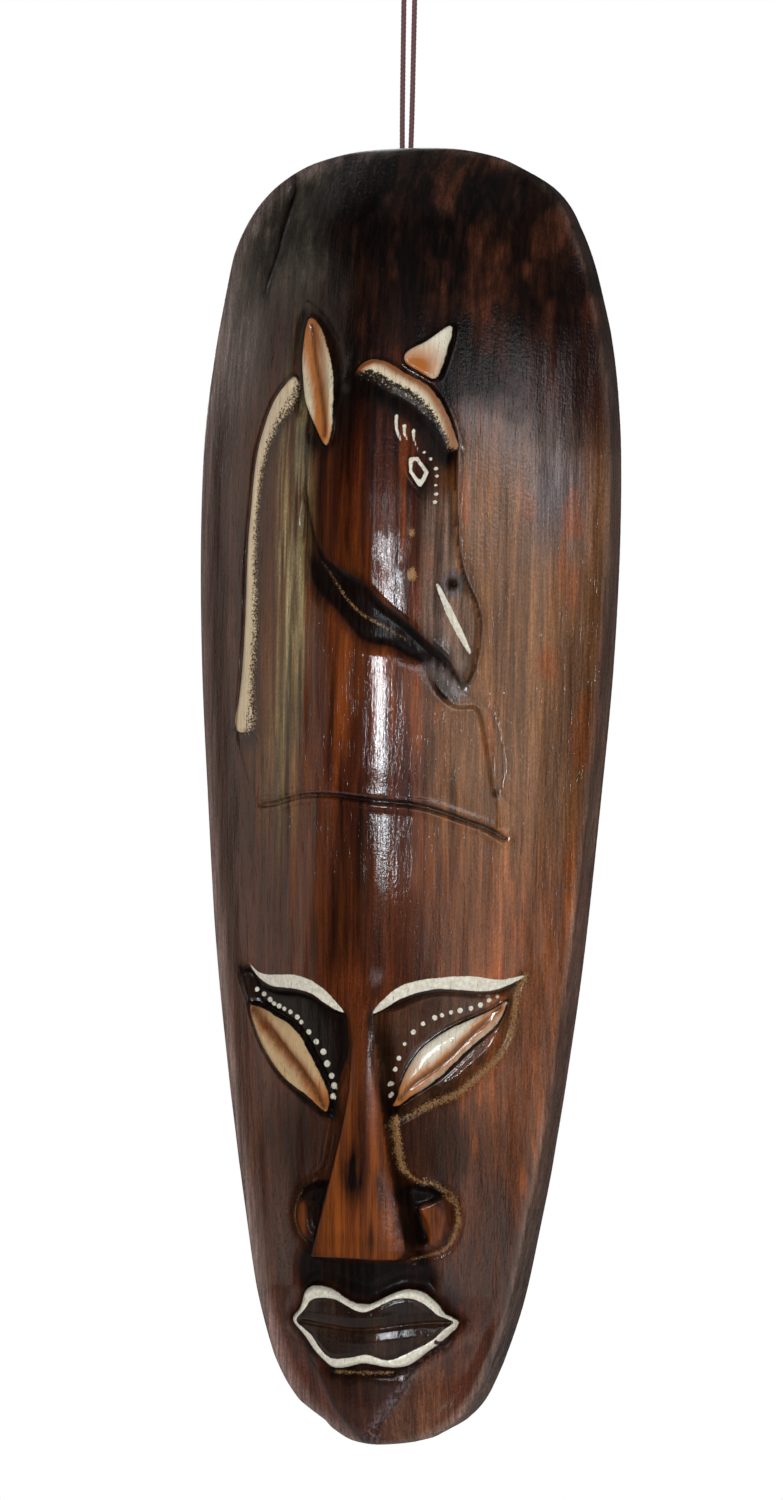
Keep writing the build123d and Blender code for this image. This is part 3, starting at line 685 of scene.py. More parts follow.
# face: sockets under the brows
SOCK_L = SOCK_L_UP + SOCK_L_LOW[::-1][1:-1]
SOCK_R = SOCK_R_UP + SOCK_R_LOW[1:-1]
sdSL, sdSR = area(SOCK_L), area(SOCK_R)
sock = {}
for name, sd, upc, low in (("L", sdSL, SOCK_L_UP, SOCK_L_LOW), ("R", sdSR, SOCK_R_UP, SOCK_R_LOW)):
    du, dua, _ = line(upc, 30.0)
    dl, dla, _ = line(low, 30.0)
    ins = sst(sd, -0.5, 0.3)
    relief -= ins * 6.2 * sst(du, -0.2, 2.6) * sst(dl, -0.5, 6.5)
    relief -= 0.5 * gauss(dl, 0.9)
    sock[name] = (du, dl, ins)
for poly, mid in ((BALL_L, BALL_L_MID), (BALL_R, BALL_R_MID)):
    sb = area(poly)
    dm, dma, _ = line(mid)
    relief += 4.2 * dome(sb + 0.3, 6.0) * (sb > -0.3)
    relief -= 1.5 * gauss(dm, 1.1) * (sb > -0.5) * sst(dma, 0.0, 0.15) * sst(1 - dma, 0.0, 0.15)
    relief -= 0.6 * gauss(sb + 0.9, 0.6)
    sock[poly[0]] = (sb, dm, dma)

# nose: a flat-fronted wedge
nzs = np.array([60, 74, 92, 107, 122, 138, 155, 168, 176, 190.0])
xl = np.interp(z, [p[1] for p in NOSE_L[::-1]], [p[0] for p in NOSE_L[::-1]])
xr = np.interp(z, [p[1] for p in NOSE_R[::-1]], [p[0] for p in NOSE_R[::-1]])
rise = np.interp(z, [74, 78, 93, 107, 122, 138, 155, 166, 178, 192], [11.4, 11.2, 9.8, 8.6, 7.4, 6.0, 4.4, 3.0, 1.2, 0.0])
xc, hw = (xl + xr) / 2, np.maximum((xr - xl) / 2, 3.0)
hw = hw + 9.0 * sst(z, 150.0, 176.0)
front = R0 + rise + 0.5 - 0.95 * (np.abs(x - xc) / hw) ** 2.0 * (1.6 + 0.1 * hw)
flank = np.interp(z, [110.0, 134.0, 160.0, 172.0], [3.6, 2.2, 2.2, 5.0])
side_d = np.minimum(x - xl, xr - x)
ramp_side = np.clip((side_d + flank) / (flank + 0.5), 0, 1)
zb = np.interp(x, [p[0] for p in NOSE_BASE], [p[1] for p in NOSE_BASE])
ramp_base = sst(z - zb, -0.9, 1.0)
nose = (0.45 * ramp_side + 0.55 * sst(ramp_side, 0, 1)) * ramp_base * sst(186.0 - z, 0.0, 18.0)
CHAN_R = [(8.4, 150.0), (13.0, 128.0), (13.8, 121.8), (15.1, 113.0), (16.6, 107.7), (21.0, 103.6), (14.5, 103.5),
          (12.0, 118.0), (9.8, 138.0)]
CHAN_L = [(-3.0, 150.0), (-12.2, 128.0), (-13.0, 121.8), (-15.0, 113.0), (-17.0, 107.0), (-21.0, 102.6),
          (-12.0, 102.5), (-8.0, 118.0), (-4.6, 138.0)]
relief -= 2.4 * sst(area(CHAN_R), -2.0, 1.6) + 2.4 * sst(area(CHAN_L), -2.0, 1.6)
# cheeks swell a little beside the nose
relief += 1.4 * np.exp(-((np.abs(x) - 33) / 16.0) ** 2 - ((z - 108) / 26.0) ** 2)
sdWR, sdWL = area(WING_R), area(WING_L)
relief += 2.2 * dome(sdWR, 6.0) + 2.2 * dome(sdWL, 6.0) + 2.6 * sst(sdWR, -0.8, 3.6) + 2.6 * sst(sdWL, -0.8, 3.6)
sdHR, sdHL, sdCR, sdCL = area(HOLE_R), area(HOLE_L), area(CRES_R), area(CRES_L)
relief -= 3.0 * sst(sdHR, -1.2, 2.2) + 2.4 * sst(sdHL, -1.4, 2.2)
relief -= 2.0 * sst(sdCR, -1.6, 2.0) + 1.5 * sst(sdCL, -1.6, 2.0)
for rim in (RIM_R, RIM_L):
    d, a, _ = line(rim)
    relief -= 0.35 * gauss(d - 1.1, 0.9)
    relief += 0.25 * gauss(d, 0.7)
cl, cla, cls = line(CHEEK_R)
relief += 0.9 * gauss(cl, 0.9)
# mouth and chin
sdPh = area(PHILTRUM)
relief -= 2.4 * sst(sdPh, -3.5, 4.5)
sdLO, sdLI = area(LIP_OUT), area(LIP_IN)
mo, moa, mos = line(MOUTH, 20.0)
relief += 3.8 * sst(sdLO, -1.2, 1.6)
relief -= 1.0 * sst(sdLI, -0.6, 1.0)
relief += 0.28 * np.minimum(mo, 4.5) * sst(sdLI, -0.2, 1.6)
relief -= 1.2 * gauss(mo, 0.7) * sst(moa, 0, 0.06)
cc, cca, _ = line(CHIN_CREASE)
relief -= 0.9 * gauss(cc - 0.2, 1.0)
CHIN = CHIN_L + CHIN_R[::-1]
sdCh = area(CHIN, 40.0)
low_face = sst(60.0 - z, 0.0, 18.0)
relief -= low_face * (3.4 * sst(-sdCh, -0.6, 16.0) * sst(E, 1.0, 20.0) + 0.9 * sst(-sdCh, -1.5, 3.2))
relief -= 0.9 * gauss(-sdLO - 2.2, 2.6) * (sdLO < 0)

blend = keep
D = D + relief * blend
D = D * (1 - nose) + (front + 0.5 * hand) * nose
D = np.maximum(D, 0.6 * D0)
chin_keep = sst(E, 0.0, 2.0)
D = D0 * (1 - chin_keep) + D * chin_keep

# ---------------------------------------------------------------------------
# Paint maps, as signed distances in millimetres so that edges stay crisp
# ---------------------------------------------------------------------------
wob = 0.16 * vnoise(x / 1.3, z / 1.3, 31) + 0.22 * vnoise(x / 4.0, z / 4.0, 33)
white = np.full(x.shape, -3.0)


def lay(field, value):
    np.maximum(field, value, out=field)


lay(white, area(BROW_L) - 0.3)
lay(white, area(BROW_R))
ring = np.minimum(sdLO - 0.1, -sdLI)
gap, _, _ = line(LIP_GAP)
lay(white, np.where((x > 26.2) & (z < 46.5), np.minimum(ring, gap - 0.95), ring))
small, _, _ = line([(28.0, 43.2), (31.6, 47.0)])
lay(white, 0.85 - small)
CA, SA = math.cos(AZ), math.sin(AZ)
h_view = x * CA - D * SA
for i, (px, pz) in enumerate(DOTS_R + DOTS_L):
    near = np.argmin((x - px) ** 2 + (z - pz) ** 2)
    h_dot = px * CA - (D0[near] - (2.0 if px > 0 else 1.0)) * SA
    r = 0.86 + 0.16 * ((i * 37) % 5) / 4.0 + (0.28 if i in (13, 14, 25, 26, 27, 28, 29, 30) else 0.0)
    lay(white, np.where(np.abs(x - px) < 6.0, r - np.hypot((h_view - h_dot) / CA, z - pz), -3.0))
for px, pz in DOTS_H:
    lay(white, 0.66 - np.hypot(x - px, z - pz))
for k, l in enumerate(LASHES):
    d, a, _ = line(l)
    lay(white, 0.62 - 0.35 * a - d)
ring_h = 0.62 - np.abs(sdEyeH - 0.1)
lay(white, np.where(z > 366.0, ring_h, -3.0))
lay(white, 1.15 * np.sin(np.clip(mha, 0.02, 1) * math.pi) ** 0.5 + 0.1 - mh)
white = np.clip(white + wob * 0.6, -3, 3)

# cream and orange paint: signed distance, softness and colour
cream = np.full(x.shape, -4.0)
soft = np.zeros(x.shape)
rgb = np.tile(np.array(srgb(222, 208, 176)[:3]), (len(x), 1))
CREAM, PALE = np.array(srgb(226, 212, 180)[:3]), np.array(srgb(236, 228, 206)[:3])
ORANGE, RUST, BROWN = (np.array(srgb(*c)[:3]) for c in ((184, 104, 44), (136, 66, 28), (66, 34, 20)))
TAN = np.array(srgb(156, 114, 74)[:3])


def paint(sd, colour, softness=0.0):
    """Lays a painted patch over what is there, with its own colour and edge."""
    global cream, soft
    won = sd > cream
    cream = np.where(won, sd, cream)
    soft = np.where(won, softness, soft)
    rgb[won] = colour[won] if colour.ndim == 2 else colour


def between(c0, c1, t):
    return c0[None] * (1 - t[:, None]) + c1[None] * t[:, None]


streak = 0.5 + 0.5 * fbm(x / 0.9, z / 14.0, 51)
# ears
t1 = np.clip(1.55 - em / 2.9 + 0.35 * (ems < 0) + 0.7 * (streak - 0.5), 0, 1)
earc = between(CREAM, ORANGE, t1)
tip = sst(z, 405, 428) * 0.8
earc = earc * (1 - tip[:, None]) + between(ORANGE, RUST, streak) * tip[:, None]
lowt = sst(392 - z, 0, 10) * 0.7
earc = earc * (1 - lowt[:, None]) + ORANGE[None] * lowt[:, None]
line_dark = gauss(em - 0.2, 0.75)[:, None] * 0.85
earc = earc * (1 - line_dark) + BROWN[None] * line_dark
paint(sdEarL, earc)
t2 = np.clip(1.35 - np.hypot(x - 17.5, z - 411.0) / 9.5, 0, 1) ** 1.1
paint(sdEarR, between(PALE, ORANGE, t2))
# forehead band: orange top, cream, speckled lower edge
bt, bta, _ = line(BAND_TOP)
t3 = np.clip(1.55 - bt / 2.3 + 0.5 * sst(0.16 - bta, 0, 0.12) + 0.5 * (streak - 0.5), 0, 1) * (1 - 0.25 * bta)
paint(sdBand - 0.1, between(CREAM, np.array(srgb(164, 84, 34)[:3]), t3), 0.9 * sst(bt - bl, -1.5, 1.0))
# nape: sharp on the left, sprayed on the right
nrr, _, _ = line(NAPE_R)
t4 = np.clip(1.0 - nl / 1.6, 0, 1) * 0.6
paint(sdNape - 0.1, between(np.array(srgb(226, 202, 166)[:3]), np.array(srgb(172, 118, 68)[:3]), t4),
      0.95 * sst(nl - nrr, -1.6, 0.8))
# eyes
for poly, mid in ((BALL_L, BALL_L_MID), (BALL_R, BALL_R_MID)):
    sb, dm, dma = sock[poly[0]]
    t5 = np.clip(1.4 - dm / 2.6 + 0.8 * (streak - 0.5), 0, 1)
    # the left eyeball is a darker cream and rust than the right: painted shade
    c = between(PALE if poly is BALL_R else np.array(srgb(196, 164, 122)[:3]), ORANGE if poly is BALL_R else RUST, t5)
    inner = sst(1 - dma if poly is BALL_R else dma, 0.52 if poly is BALL_R else 0.66, 1.0) * 0.9
    c = c * (1 - inner[:, None]) + ORANGE[None] * inner[:, None]
    g = gauss(dm, 0.9)[:, None] * 0.92
    c = c * (1 - g) + BROWN[None] * g
    paint(sb - (0.5 if poly is BALL_L else 0.1), c)
# thin carved lights: cheek, nostril rims, horse's spots and crease lines
for l, w, sft in ((CHEEK_R, 1.05, 0.5), (RIM_R, 0.55, 0.4), (RIM_L, 0.45, 0.4), (CHIN_CREASE, 0.35, 0.5),
                  (JAW_RIDGE, 0.30, 0.35)):
    d, a, _ = line(l)
    wd = w * np.sin(np.clip(a, 0.03, 0.97) * math.pi) ** 0.4
    if l is CHEEK_R:
        wd = 0.95 * (1 - 0.6 * a)
    paint(wd - d, TAN, sft)
for px, pz, r in ((18.5, 333.1, 1.6), (18.1, 348.5, 1.0)):
    paint(r - np.hypot(x - px, (z - pz) / 1.6), TAN, 0.3)
paint(1.0 * sst(1 - line(SOCK_R_LOW)[1], 0.0, 0.2) - np.abs(line(SOCK_R_LOW)[0] - 0.3) - 0.1, TAN * 0.75, 0.9)
cream = np.clip(cream + wob * 0.8, -4, 4)

# dark shading, 0 to 1: sprayed dark paint, and painted shade in hollows, grooves and on facets turned from the light
dark = np.zeros(x.shape)


def shade(v):
    global dark
    dark = 1 - (1 - dark) * (1 - np.clip(v, 0, 1))


# the jaw groove: dark paint, and painted shadow under the jaw
open_jaw = 1 - 0.65 * sst(z, 332, 346)
shade(0.98 * sst(sdJaw, -1.0, 0.8) * open_jaw)
shade(0.6 * gauss(np.maximum(-sdJaw, 0), 3.0) * open_jaw)
shade(0.62 * gauss(np.maximum(sdEarL * -1, 0), 3.4) * sst(x, -31, -22) * (sdEarL < 0.4) * sst(440 - z, 0, 14))
shade(0.8 * gauss(np.hypot((x + 22.0) / 1.3, z - 384.0), 6.5) * sst(-sdEarL, -0.6, 0.6))
shade(0.85 * gauss(np.hypot((x + 9) / 1.0, (z - 404) / 2.0), 11.0))
blw, _, _ = line(BAND_LOW, 24.0)
shade(0.93 * gauss(np.maximum(blw - 1.0, 0), 7.0) * (sdBand < 0.6) * (sdHead > 0))
shade(0.7 * gauss(np.maximum(-sdEarR, 0), 1.4))
shade(0.62 * gauss(np.maximum(-sdHead, 0), 1.5) * (sdHead < 0.3) * (z > 286) * (1 - by_top))
shade(0.75 * gauss(np.hypot(x - 21, z - 366), 5.5))
shade(0.95 * gauss(rn, 2.9))
shade(0.7 * gauss(nl, 1.6) * (sdNape < 0.2))
shade(0.7 * gauss(np.maximum(nrr, 0), 3.6) * (sdNape < 0.4))
# painted shadow at the carved end of the mane
shade(0.6 * gauss(np.hypot(x + 54, (z - 270) * 0.9), 5.0))
shade(0.9 * gauss(bs, 1.1) * (0.35 + 0.65 * sst(bsa, 0.1, 0.5)))
shade(0.4 * gauss(nr, 0.9) + 0.4 * gauss(ns, 1.0) + 0.3 * gauss(nt, 0.9))
shade(0.6 * gauss(np.hypot(x - 29.5, z - 303.0), 4.5))
# painted shade in the sunken sockets, much darker in the left one, and painted shadow under the brows
for name in ("L", "R"):
    du, dl, ins = sock[name]
    shade(ins * (0.90 if name == "L" else 0.36) * (0.45 + 0.55 * sst(dl, 0, 6)))
    shade((0.6 if name == "L" else 0.35) * gauss(dl, 2.2))
    shade(0.8 * gauss(du, 1.4))
shade(0.9 * gauss(sock[BALL_L[0]][0], 1.4))
shade(0.8 * gauss(sock[BALL_R[0]][0], 0.9))
below_eye = (np.exp(-((x - 29) / 15.0) ** 2 - ((z - 118) / 19.0) ** 2)
             + np.exp(-((x + 30) / 15.0) ** 2 - ((z - 116) / 20.0) ** 2))
below_eye = 0.8 * np.tanh(1.5 * below_eye)
shade((0.78 + 0.16 * fbm(x / 4.0, z / 20.0, 35)) * below_eye)
shade(0.93 * sst(10.0 - bl, 0.0, 6.5) * (sdBand < 0.2) * sst(sdHead, 0.5, 2.5) * (0.9 + 0.35 * fbm(x / 3.0, z / 4.0, 115)))
shade(0.55 * np.exp(-((x - 30) / 9.0) ** 2 - ((z - 60) / 12.0) ** 2))
shade(0.5 * np.exp(-((x + 34) / 12.0) ** 2 - ((z - 70) / 26.0) ** 2))
shade(0.6 * gauss(np.maximum(-side_d, 0), 4.5) * (side_d < 0.5) * sst(168 - z, 0, 12) * sst(z, 60, 76) * (nose < 0.98))
# painted shade in the nostril holes and the deep cuts above the nostril wings
shade(0.93 * sst(sdHR, -2.0, 1.2) + 0.72 * sst(sdHL, -1.6, 1.0) + 0.85 * sst(sdCR, -2.4, 1.0) + 0.78 * sst(sdCL, -1.8, 0.8))
shade(0.28 * (sst(sdWR, -2.0, 2.0) + sst(sdWL, -2.0, 2.0)))
# painted shadow under the nose
shade(0.92 * sst(sdPh, -4.0, 1.5))
shade(0.56 * sst(sdLI, -0.6, 0.4) * (1 - 0.45 * gauss(mo, 1.6)) * (1 - 0.35 * sst(x, -2, 6) * sst(46 - z, 0, 3)))
shade(0.6 * gauss(np.maximum(-sdLO, 0), 2.8))
# darker centre of the chin between its facets: painted shade
shade(0.4 * sst(sdCh, -1.0, 6.0) * sst(34 - z, 0, 8) * sst(z, 8, 26))
shade(0.75 * gauss(cc, 3.0))
shade(0.5 * gauss(line(CHIN_L)[0], 1.2) + 0.25 * gauss(line(CHIN_R)[0], 1.0))
# painted shade in the crack
shade(0.8 * gauss(ck, 1.5) * fade)
# the crown is stained nearly black, with brown showing through
bound = 432.0 - 38.0 * sst(x, 0.0, 28.0) - 10.0 * sst(x, 44.0, 70.0)
crown = sst(z + 10 * fbm(x / 14.0, z / 16.0, 71) - bound, -14.0 + 7.0 * sst(x, 0.0, 28.0), 26.0 - 17.0 * sst(x, 0.0, 28.0))
crown = np.maximum(crown, 0.75 * gauss(np.hypot((x + 8) / 1.5, (z - 430) / 1.3), 26.0))
# the black is lifted towards the left, the right and the rim: painted reflection
crown *= 1 - 0.26 * sst(-x, 8.0, 36.0) * sst(z, 430.0, 450.0)
crown *= 1 - 0.12 * sst(x, 22.0, 52.0)
crown *= 1 - 0.45 * sst(x, 46.0, 64.0) * sst(440.0 - z, 0.0, 30.0)
crown *= 1 - 0.22 * sst(9.0 - E, 0.0, 8.0)
shade(0.94 * crown - 0.70 * sst(fbm(x / 7.0 + z / 40.0, z / 14.0, 77, 4), 0.04, 0.5) * crown * (1 - 0.6 * sst(-x, 4, 26)))

spray = 1.0 * sst(bt - bl, -1.4, 3.4) * (sdBand > -3)
spray = np.maximum(spray, 0.55 * sst(nl - nrr, -0.2, 4.4) * (sdNape > -3))
wa, waa, _ = line([(20.0, 303.0), (27.0, 297.0), (34.0, 288.5)])
shade(0.55 * gauss(x + 3.0, 17.0) * sst(z, 176, 190) * sst(250 - z, 0, 12) * (0.6 + 0.8 * fbm(x / 4.0, z / 40.0, 97)))
# a pale grey patch along the lower jaw, with the dark paint lifted there
jaw_pale_patch = gauss(wa, 3.0) * sst(waa, 0.05, 0.5) * (0.55 + 0.45 * sst(fbm(x / 1.1, z / 5.0, 63), -0.2, 0.4))
dark *= 1 - 0.72 * jaw_pale_patch
# orange glow on the nose and other rubbed wood, with a painted highlight on the nostril-wing facets and painted shade
# on the nose's right bevel
glow = np.zeros(x.shape)
glow = np.maximum(glow, (0.30 + 0.62 * sst(140 - z, 0, 34)) * sst(side_d, -0.6, 1.4) * sst(z, 70, 77) * sst(166 - z, 0, 26))
smudge = (0.85 * gauss(np.hypot((x + 0.5) / 1.5, (z - 107) / 3.0), 3.8) + 0.5 * gauss(np.hypot((x - 2.5) / 0.6, (z - 127) / 3.5), 3.2)
          + 0.5 * gauss(np.hypot((x - 9.5) / 0.7, (z - 101) / 2.4), 3.0) + 0.35 * gauss(np.hypot((x - 7.0) / 0.5, (z - 84) / 2.0), 3.0))
# darker strip along the right edge of the nose front: painted shade for the bevel there
glow = glow * (1 - np.clip(smudge, 0, 1)) * (1 - 0.6 * sst(4.6 - (xr - x), 0, 3.4) * sst(132 - z, 0, 24))
# orange on the nostril-wing facets: painted highlight on the lit facets
facet = area(FACET_R)
glow = np.maximum(glow, 0.7 * sst(facet, -1.0, 1.2))
glow = np.maximum(glow, 0.75 * sst(3.2 - np.abs(x + 25.8), 0, 1.8) * sst(z, 79, 83) * sst(95 - z, 0, 3))
dark *= 1 - 0.85 * glow
shade(1.35 * np.clip(smudge, 0, 1) * sst(side_d, 0, 2.5) * (0.8 + 0.7 * fbm(x / 1.4, z / 9.0, 67)))
glow = np.maximum(glow, 0.35 * sst(46 - np.abs(x - 6), 0, 26) * sst(z, 180, 215) * sst(250 - z, 0, 30))
glow = np.maximum(glow, 0.4 * sst(z, 250, 300) * sst(380 - z, 0, 60) * sst(28 - np.abs(x + 4), 0, 22))

# broad stain colours, painted by hand over the whole front; lighter on the right flank, with painted sheen, reflections
# and shade laid into the same colours below
stain_stops = [(0, (66, 32, 20)), (60, (80, 40, 22)), (140, (88, 42, 18)), (230, (76, 32, 13)),
               (320, (72, 27, 7)), (390, (66, 24, 9)), (440, (50, 25, 15)), (500, (46, 32, 24))]
zz = np.array([p[0] for p in stain_stops], float)
cc3 = np.array([srgb(*p[1])[:3] for p in stain_stops])
stain_and_painted_light = np.stack([np.interp(z, zz, cc3[:, i]) for i in range(3)], 1)


def tint(colour, amount):
    global stain_and_painted_light
    a = np.clip(amount, 0, 1)[:, None]
    stain_and_painted_light = stain_and_painted_light * (1 - a) + np.array(srgb(*colour)[:3])[None] * a


rough_x = x + 5.0 * fbm(x / 9.0, z / 40.0, 41)
# lighter and warmer on the right flank
tint((146, 98, 60), 0.78 * sst(rough_x, 16, 40) * sst(z, 150, 250) * sst(408 - z, 0, 50))
tint((142, 78, 38), 0.8 * sst(rough_x, 16, 46) * sst(z, 84, 140) * sst(262 - z, 0, 70))
tint((108, 62, 26), 0.5 * sst(-rough_x, 22, 34) * sst(z, 215, 260) * sst(420 - z, 0, 40) * sst(58 + rough_x, 0, 6))
# olive streaks on the left of the neck: painted sheen
tint((186, 168, 116), 0.95 * gauss(np.hypot((rough_x + 31.0) / 0.5, (z - 340) / 4.6), 13.0) * sst(fbm(x / 1.6, z / 40.0, 37), -0.35, 0.3))
tint((138, 120, 74), 0.72 * gauss(np.hypot((rough_x + 33) / 0.6, (z - 272) / 3.0), 13.0) * sst(fbm(x / 2.2, z / 60.0, 39), -0.5, 0.3))
# greyer along the far left side: painted sheen
tint((76, 56, 46), 0.6 * sst(-x, 52, 66))
# bluish-grey patch on the right flank: painted reflection
tint((92, 90, 96), 0.8 * gauss(np.hypot((rough_x - 66) / 0.8, (z - 366) / 2.0), 12.0))
tint((66, 36, 18), 0.8 * np.clip(below_eye, 0, 1))
tint((92, 50, 32), 0.6 * sst(fbm(x / 6.0, z / 15.0, 113, 3), -0.2, 0.35) * sst(z, 412, 440) * sst(x, 6, 26))
# socket colours, the left one darker than the right: painted shade
tint((112, 76, 50), 0.75 * sst(sdSR, -0.4, 1.0) * (0.6 + 0.5 * fbm(x / 5.0, z / 4.0, 99)))
tint((70, 44, 30), 0.8 * sst(sdSL, -0.4, 1.0))
tint((150, 142, 140), 0.85 * jaw_pale_patch)
# lighter grey-brown on the muzzle: painted sheen
tint((146, 120, 104), 0.7 * sst(sdHead, 0, 2) * sst(x, 19, 25) * sst(370 - z, 0, 14))
tint((128, 126, 134), 0.7 * gauss(rn - 3.0, 0.8))
tint((152, 78, 30), 0.5 * sst(fbm((x + 0.12 * z) / 3.2, z / 34.0, 103, 3), 0.02, 0.34) * sst(x, 30, 40) * sst(z, 60, 90) * sst(150 - z, 0, 24))
tint((30, 16, 12), 0.62 * gauss(np.hypot((x + 3.0) / 1.0, (z - 214) / 1.5), 11.0) * sst(fbm(x / 3.0, z / 22.0, 105, 3), -0.3, 0.2))
tint((112, 70, 40), 0.9 * sst(sdLI, -0.6, 0.4))
# the chin's right facet lighter and its left part a different brown: painted light and shade on the facets
tint((124, 80, 58), 0.62 * sst(-sdCh, -0.4, 0.8) * sst(x, 2, 8) * sst(42 - z, 0, 10) * sst(34 - x, 0, 12))
tint((104, 58, 44), 0.5 * sst(-sdCh, -0.4, 0.8) * sst(-x, 0, 4) * sst(40 - z, 0, 10))
# pale speckle along the right chin ridge: painted sheen
tint((150, 132, 138), 0.42 * gauss(line(CHIN_R)[0] - 1.5, 2.2) * (sdCh > -1.0) * sst(fbm(x / 0.8, z / 0.9, 69), -0.1, 0.3))
flame = fbm(x / 9.0, z / 30.0, 87, 3)
tint((158, 78, 28), 0.55 * sst(flame, 0.16, 0.5) * sst(x, 14, 34) * sst(z, 60, 130) * sst(400 - z, 0, 60))
tint((140, 66, 22), 0.55 * sst(fbm(x / 5.0, z / 60.0, 89, 3), 0.1, 0.5) * sst(40 - np.abs(x), 0, 14) * sst(z, 180, 240) * sst(432 - z, 0, 40))
# lighter at the left of the crown, the left side and along the rim: painted reflection
tint((120, 112, 96), 0.6 * sst(-x, 8, 40) * sst(z, 432, 456))
tint((112, 98, 90), 0.55 * sst(-x, 44, 62) * sst(z, 384, 420))
tint((142, 120, 112), 0.62 * sst(9.0 - E, 0.0, 8.0) * sst(-x, 0, 8))
tint((134, 112, 100), 0.6 * sst(3.0 - E, 0.0, 2.6) * sst(x, 0, 8) * (1 - 0.6 * sst(z, 400, 440)))
patch = 0.5 + 0.5 * fbm(x / 12.0, z / 60.0, 91, 4)
stain_and_painted_light = stain_and_painted_light * (0.66 + 0.68 * patch)[:, None]
middle = sst(44 - np.abs(x + 2), 0, 16) * sst(z, 176, 200)
drip = sst(fbm(x / 1.9, z / 48.0, 95, 3), 0.02, 0.42)
stain_and_painted_light = stain_and_painted_light * (1 - 0.66 * drip * middle)[:, None] * 0.80
# lighter near the lower edges: painted rim reflection
stain_and_painted_light *= (1 + (0.5 - 0.46 * sst(x, -8, 8)) * sst(13.0 - E, 0.0, 11.0) * sst(z, 10, 50))[:, None]
stain_and_painted_light *= (1 - 0.26 * sst(18.0 - E, 0.0, 8.0) * sst(E, 1.5, 4.0) * sst(x, 10, 24) * sst(z, 60, 120))[:, None]
rgb *= 0.90

# ---------------------------------------------------------------------------
# Back of the block: flat rim and gouged hollow
# ---------------------------------------------------------------------------
SKIP = 5
rows = list(range(0, NZ, SKIP))
ZB = ZS[rows]
INSET = 1.6
zb_rows = np.clip(ZB, 1.2, H - 1.2)
keep_rows = [i for i, v in enumerate(ZB) if 1.2 < v < H - 1.2]
ZB = ZB[keep_rows]
NB = 97
sB = np.linspace(-1, 1, NB)
AB = np.maximum(half(ZB) - INSET * 1.35, 0.8)
XB = AB[:, None] * sB[None]
ZBg = np.repeat(ZB[:, None], NB, 1)
xb, zbk = XB.ravel(), ZBg.ravel()
EB = edge_distance(xb, zbk)
thick = 13.5
Rb = ridge(zbk)
gb = Rb - K * (np.sqrt(xb ** 2 + C * C) - C) - thick
inn = np.minimum(EB - 11.0 + 1.2 * fbm(xb / 30, zbk / 30, 5), np.minimum((476.0 - zbk) * 0.9, (zbk - 25.0) * 0.9))
depth = np.maximum(gb, 2.0)
wallb = 1 - np.exp(-np.maximum(inn, 0) / 7.5)
hol = np.where(inn > 0, np.minimum(depth * wallb * 1.12, depth), 0.0)
cell_u, cell_v = xb / 8.5 + 0.6 * vnoise(xb / 20, zbk / 20, 12), zbk / 24.0
cell_v = cell_v + 0.5 * _hash(np.floor(cell_u), np.zeros_like(cell_u), 8)
fu, fv = cell_u - np.floor(cell_u) - 0.5, cell_v - np.floor(cell_v) - 0.5
scallop = (0.25 - fu ** 2) * 3.2 + (0.25 - fv ** 2) * 1.6 * (0.6 + 0.8 * _hash(np.floor(cell_u), np.floor(cell_v), 4))
hol = hol + np.where(inn > 1.0, (scallop - 0.6) * 1.1 * sst(inn, 1, 6), 0.0)
hol = np.maximum(hol, 0.0)

# ---------------------------------------------------------------------------
# Mesh: front grid, side wall, flat rim strip and back grid
# ---------------------------------------------------------------------------
LEAN_R = [(0.0, 0.0), (0.6, 1.0), (2, 4.0), (4, 5.4), (7.4, 5.3), (10.8, 4.5), (14.2, 3.4), (17.7, 2.3), (21, 1.4), (26, 0.6), (34, 0.2), (100, 0.3),
          (200, 0.6), (300, 0.9), (400, 0.9), (430, 1.6), (445, 1.3), (470, 1.2), (482, 2.4), (490, 3.0), (494, 3.2),
          (500, 2.5)]
LEAN_L = [(0.6, 0.5), (4, -1.8), (7.4, -3.0), (10.8, -1.4), (14, 0.0), (21, 0.6), (31, 1.1), (60, 0.9), (100, 0.2),
          (200, 0.6), (300, 0.9), (400, 0.9), (415, 0.9), (443, 1.8), (455, 2.4), (465, 3.0), (472, 3.2), (483, 3.5),
          (494, 4.0), (500, 3.0)]


def lean(px, pz):
    """The carver's outline isn't quite even: the left of the crown and the right of the chin stand out."""
    share = np.clip(np.abs(px) / np.maximum(half(np.clip(pz, 0.05, H - 0.05)), 0.5), 0, 1.1) ** 3
    out_ = np.where(px > 0, table(LEAN_R, pz), -table(LEAN_L, pz))
    return px + out_ * share


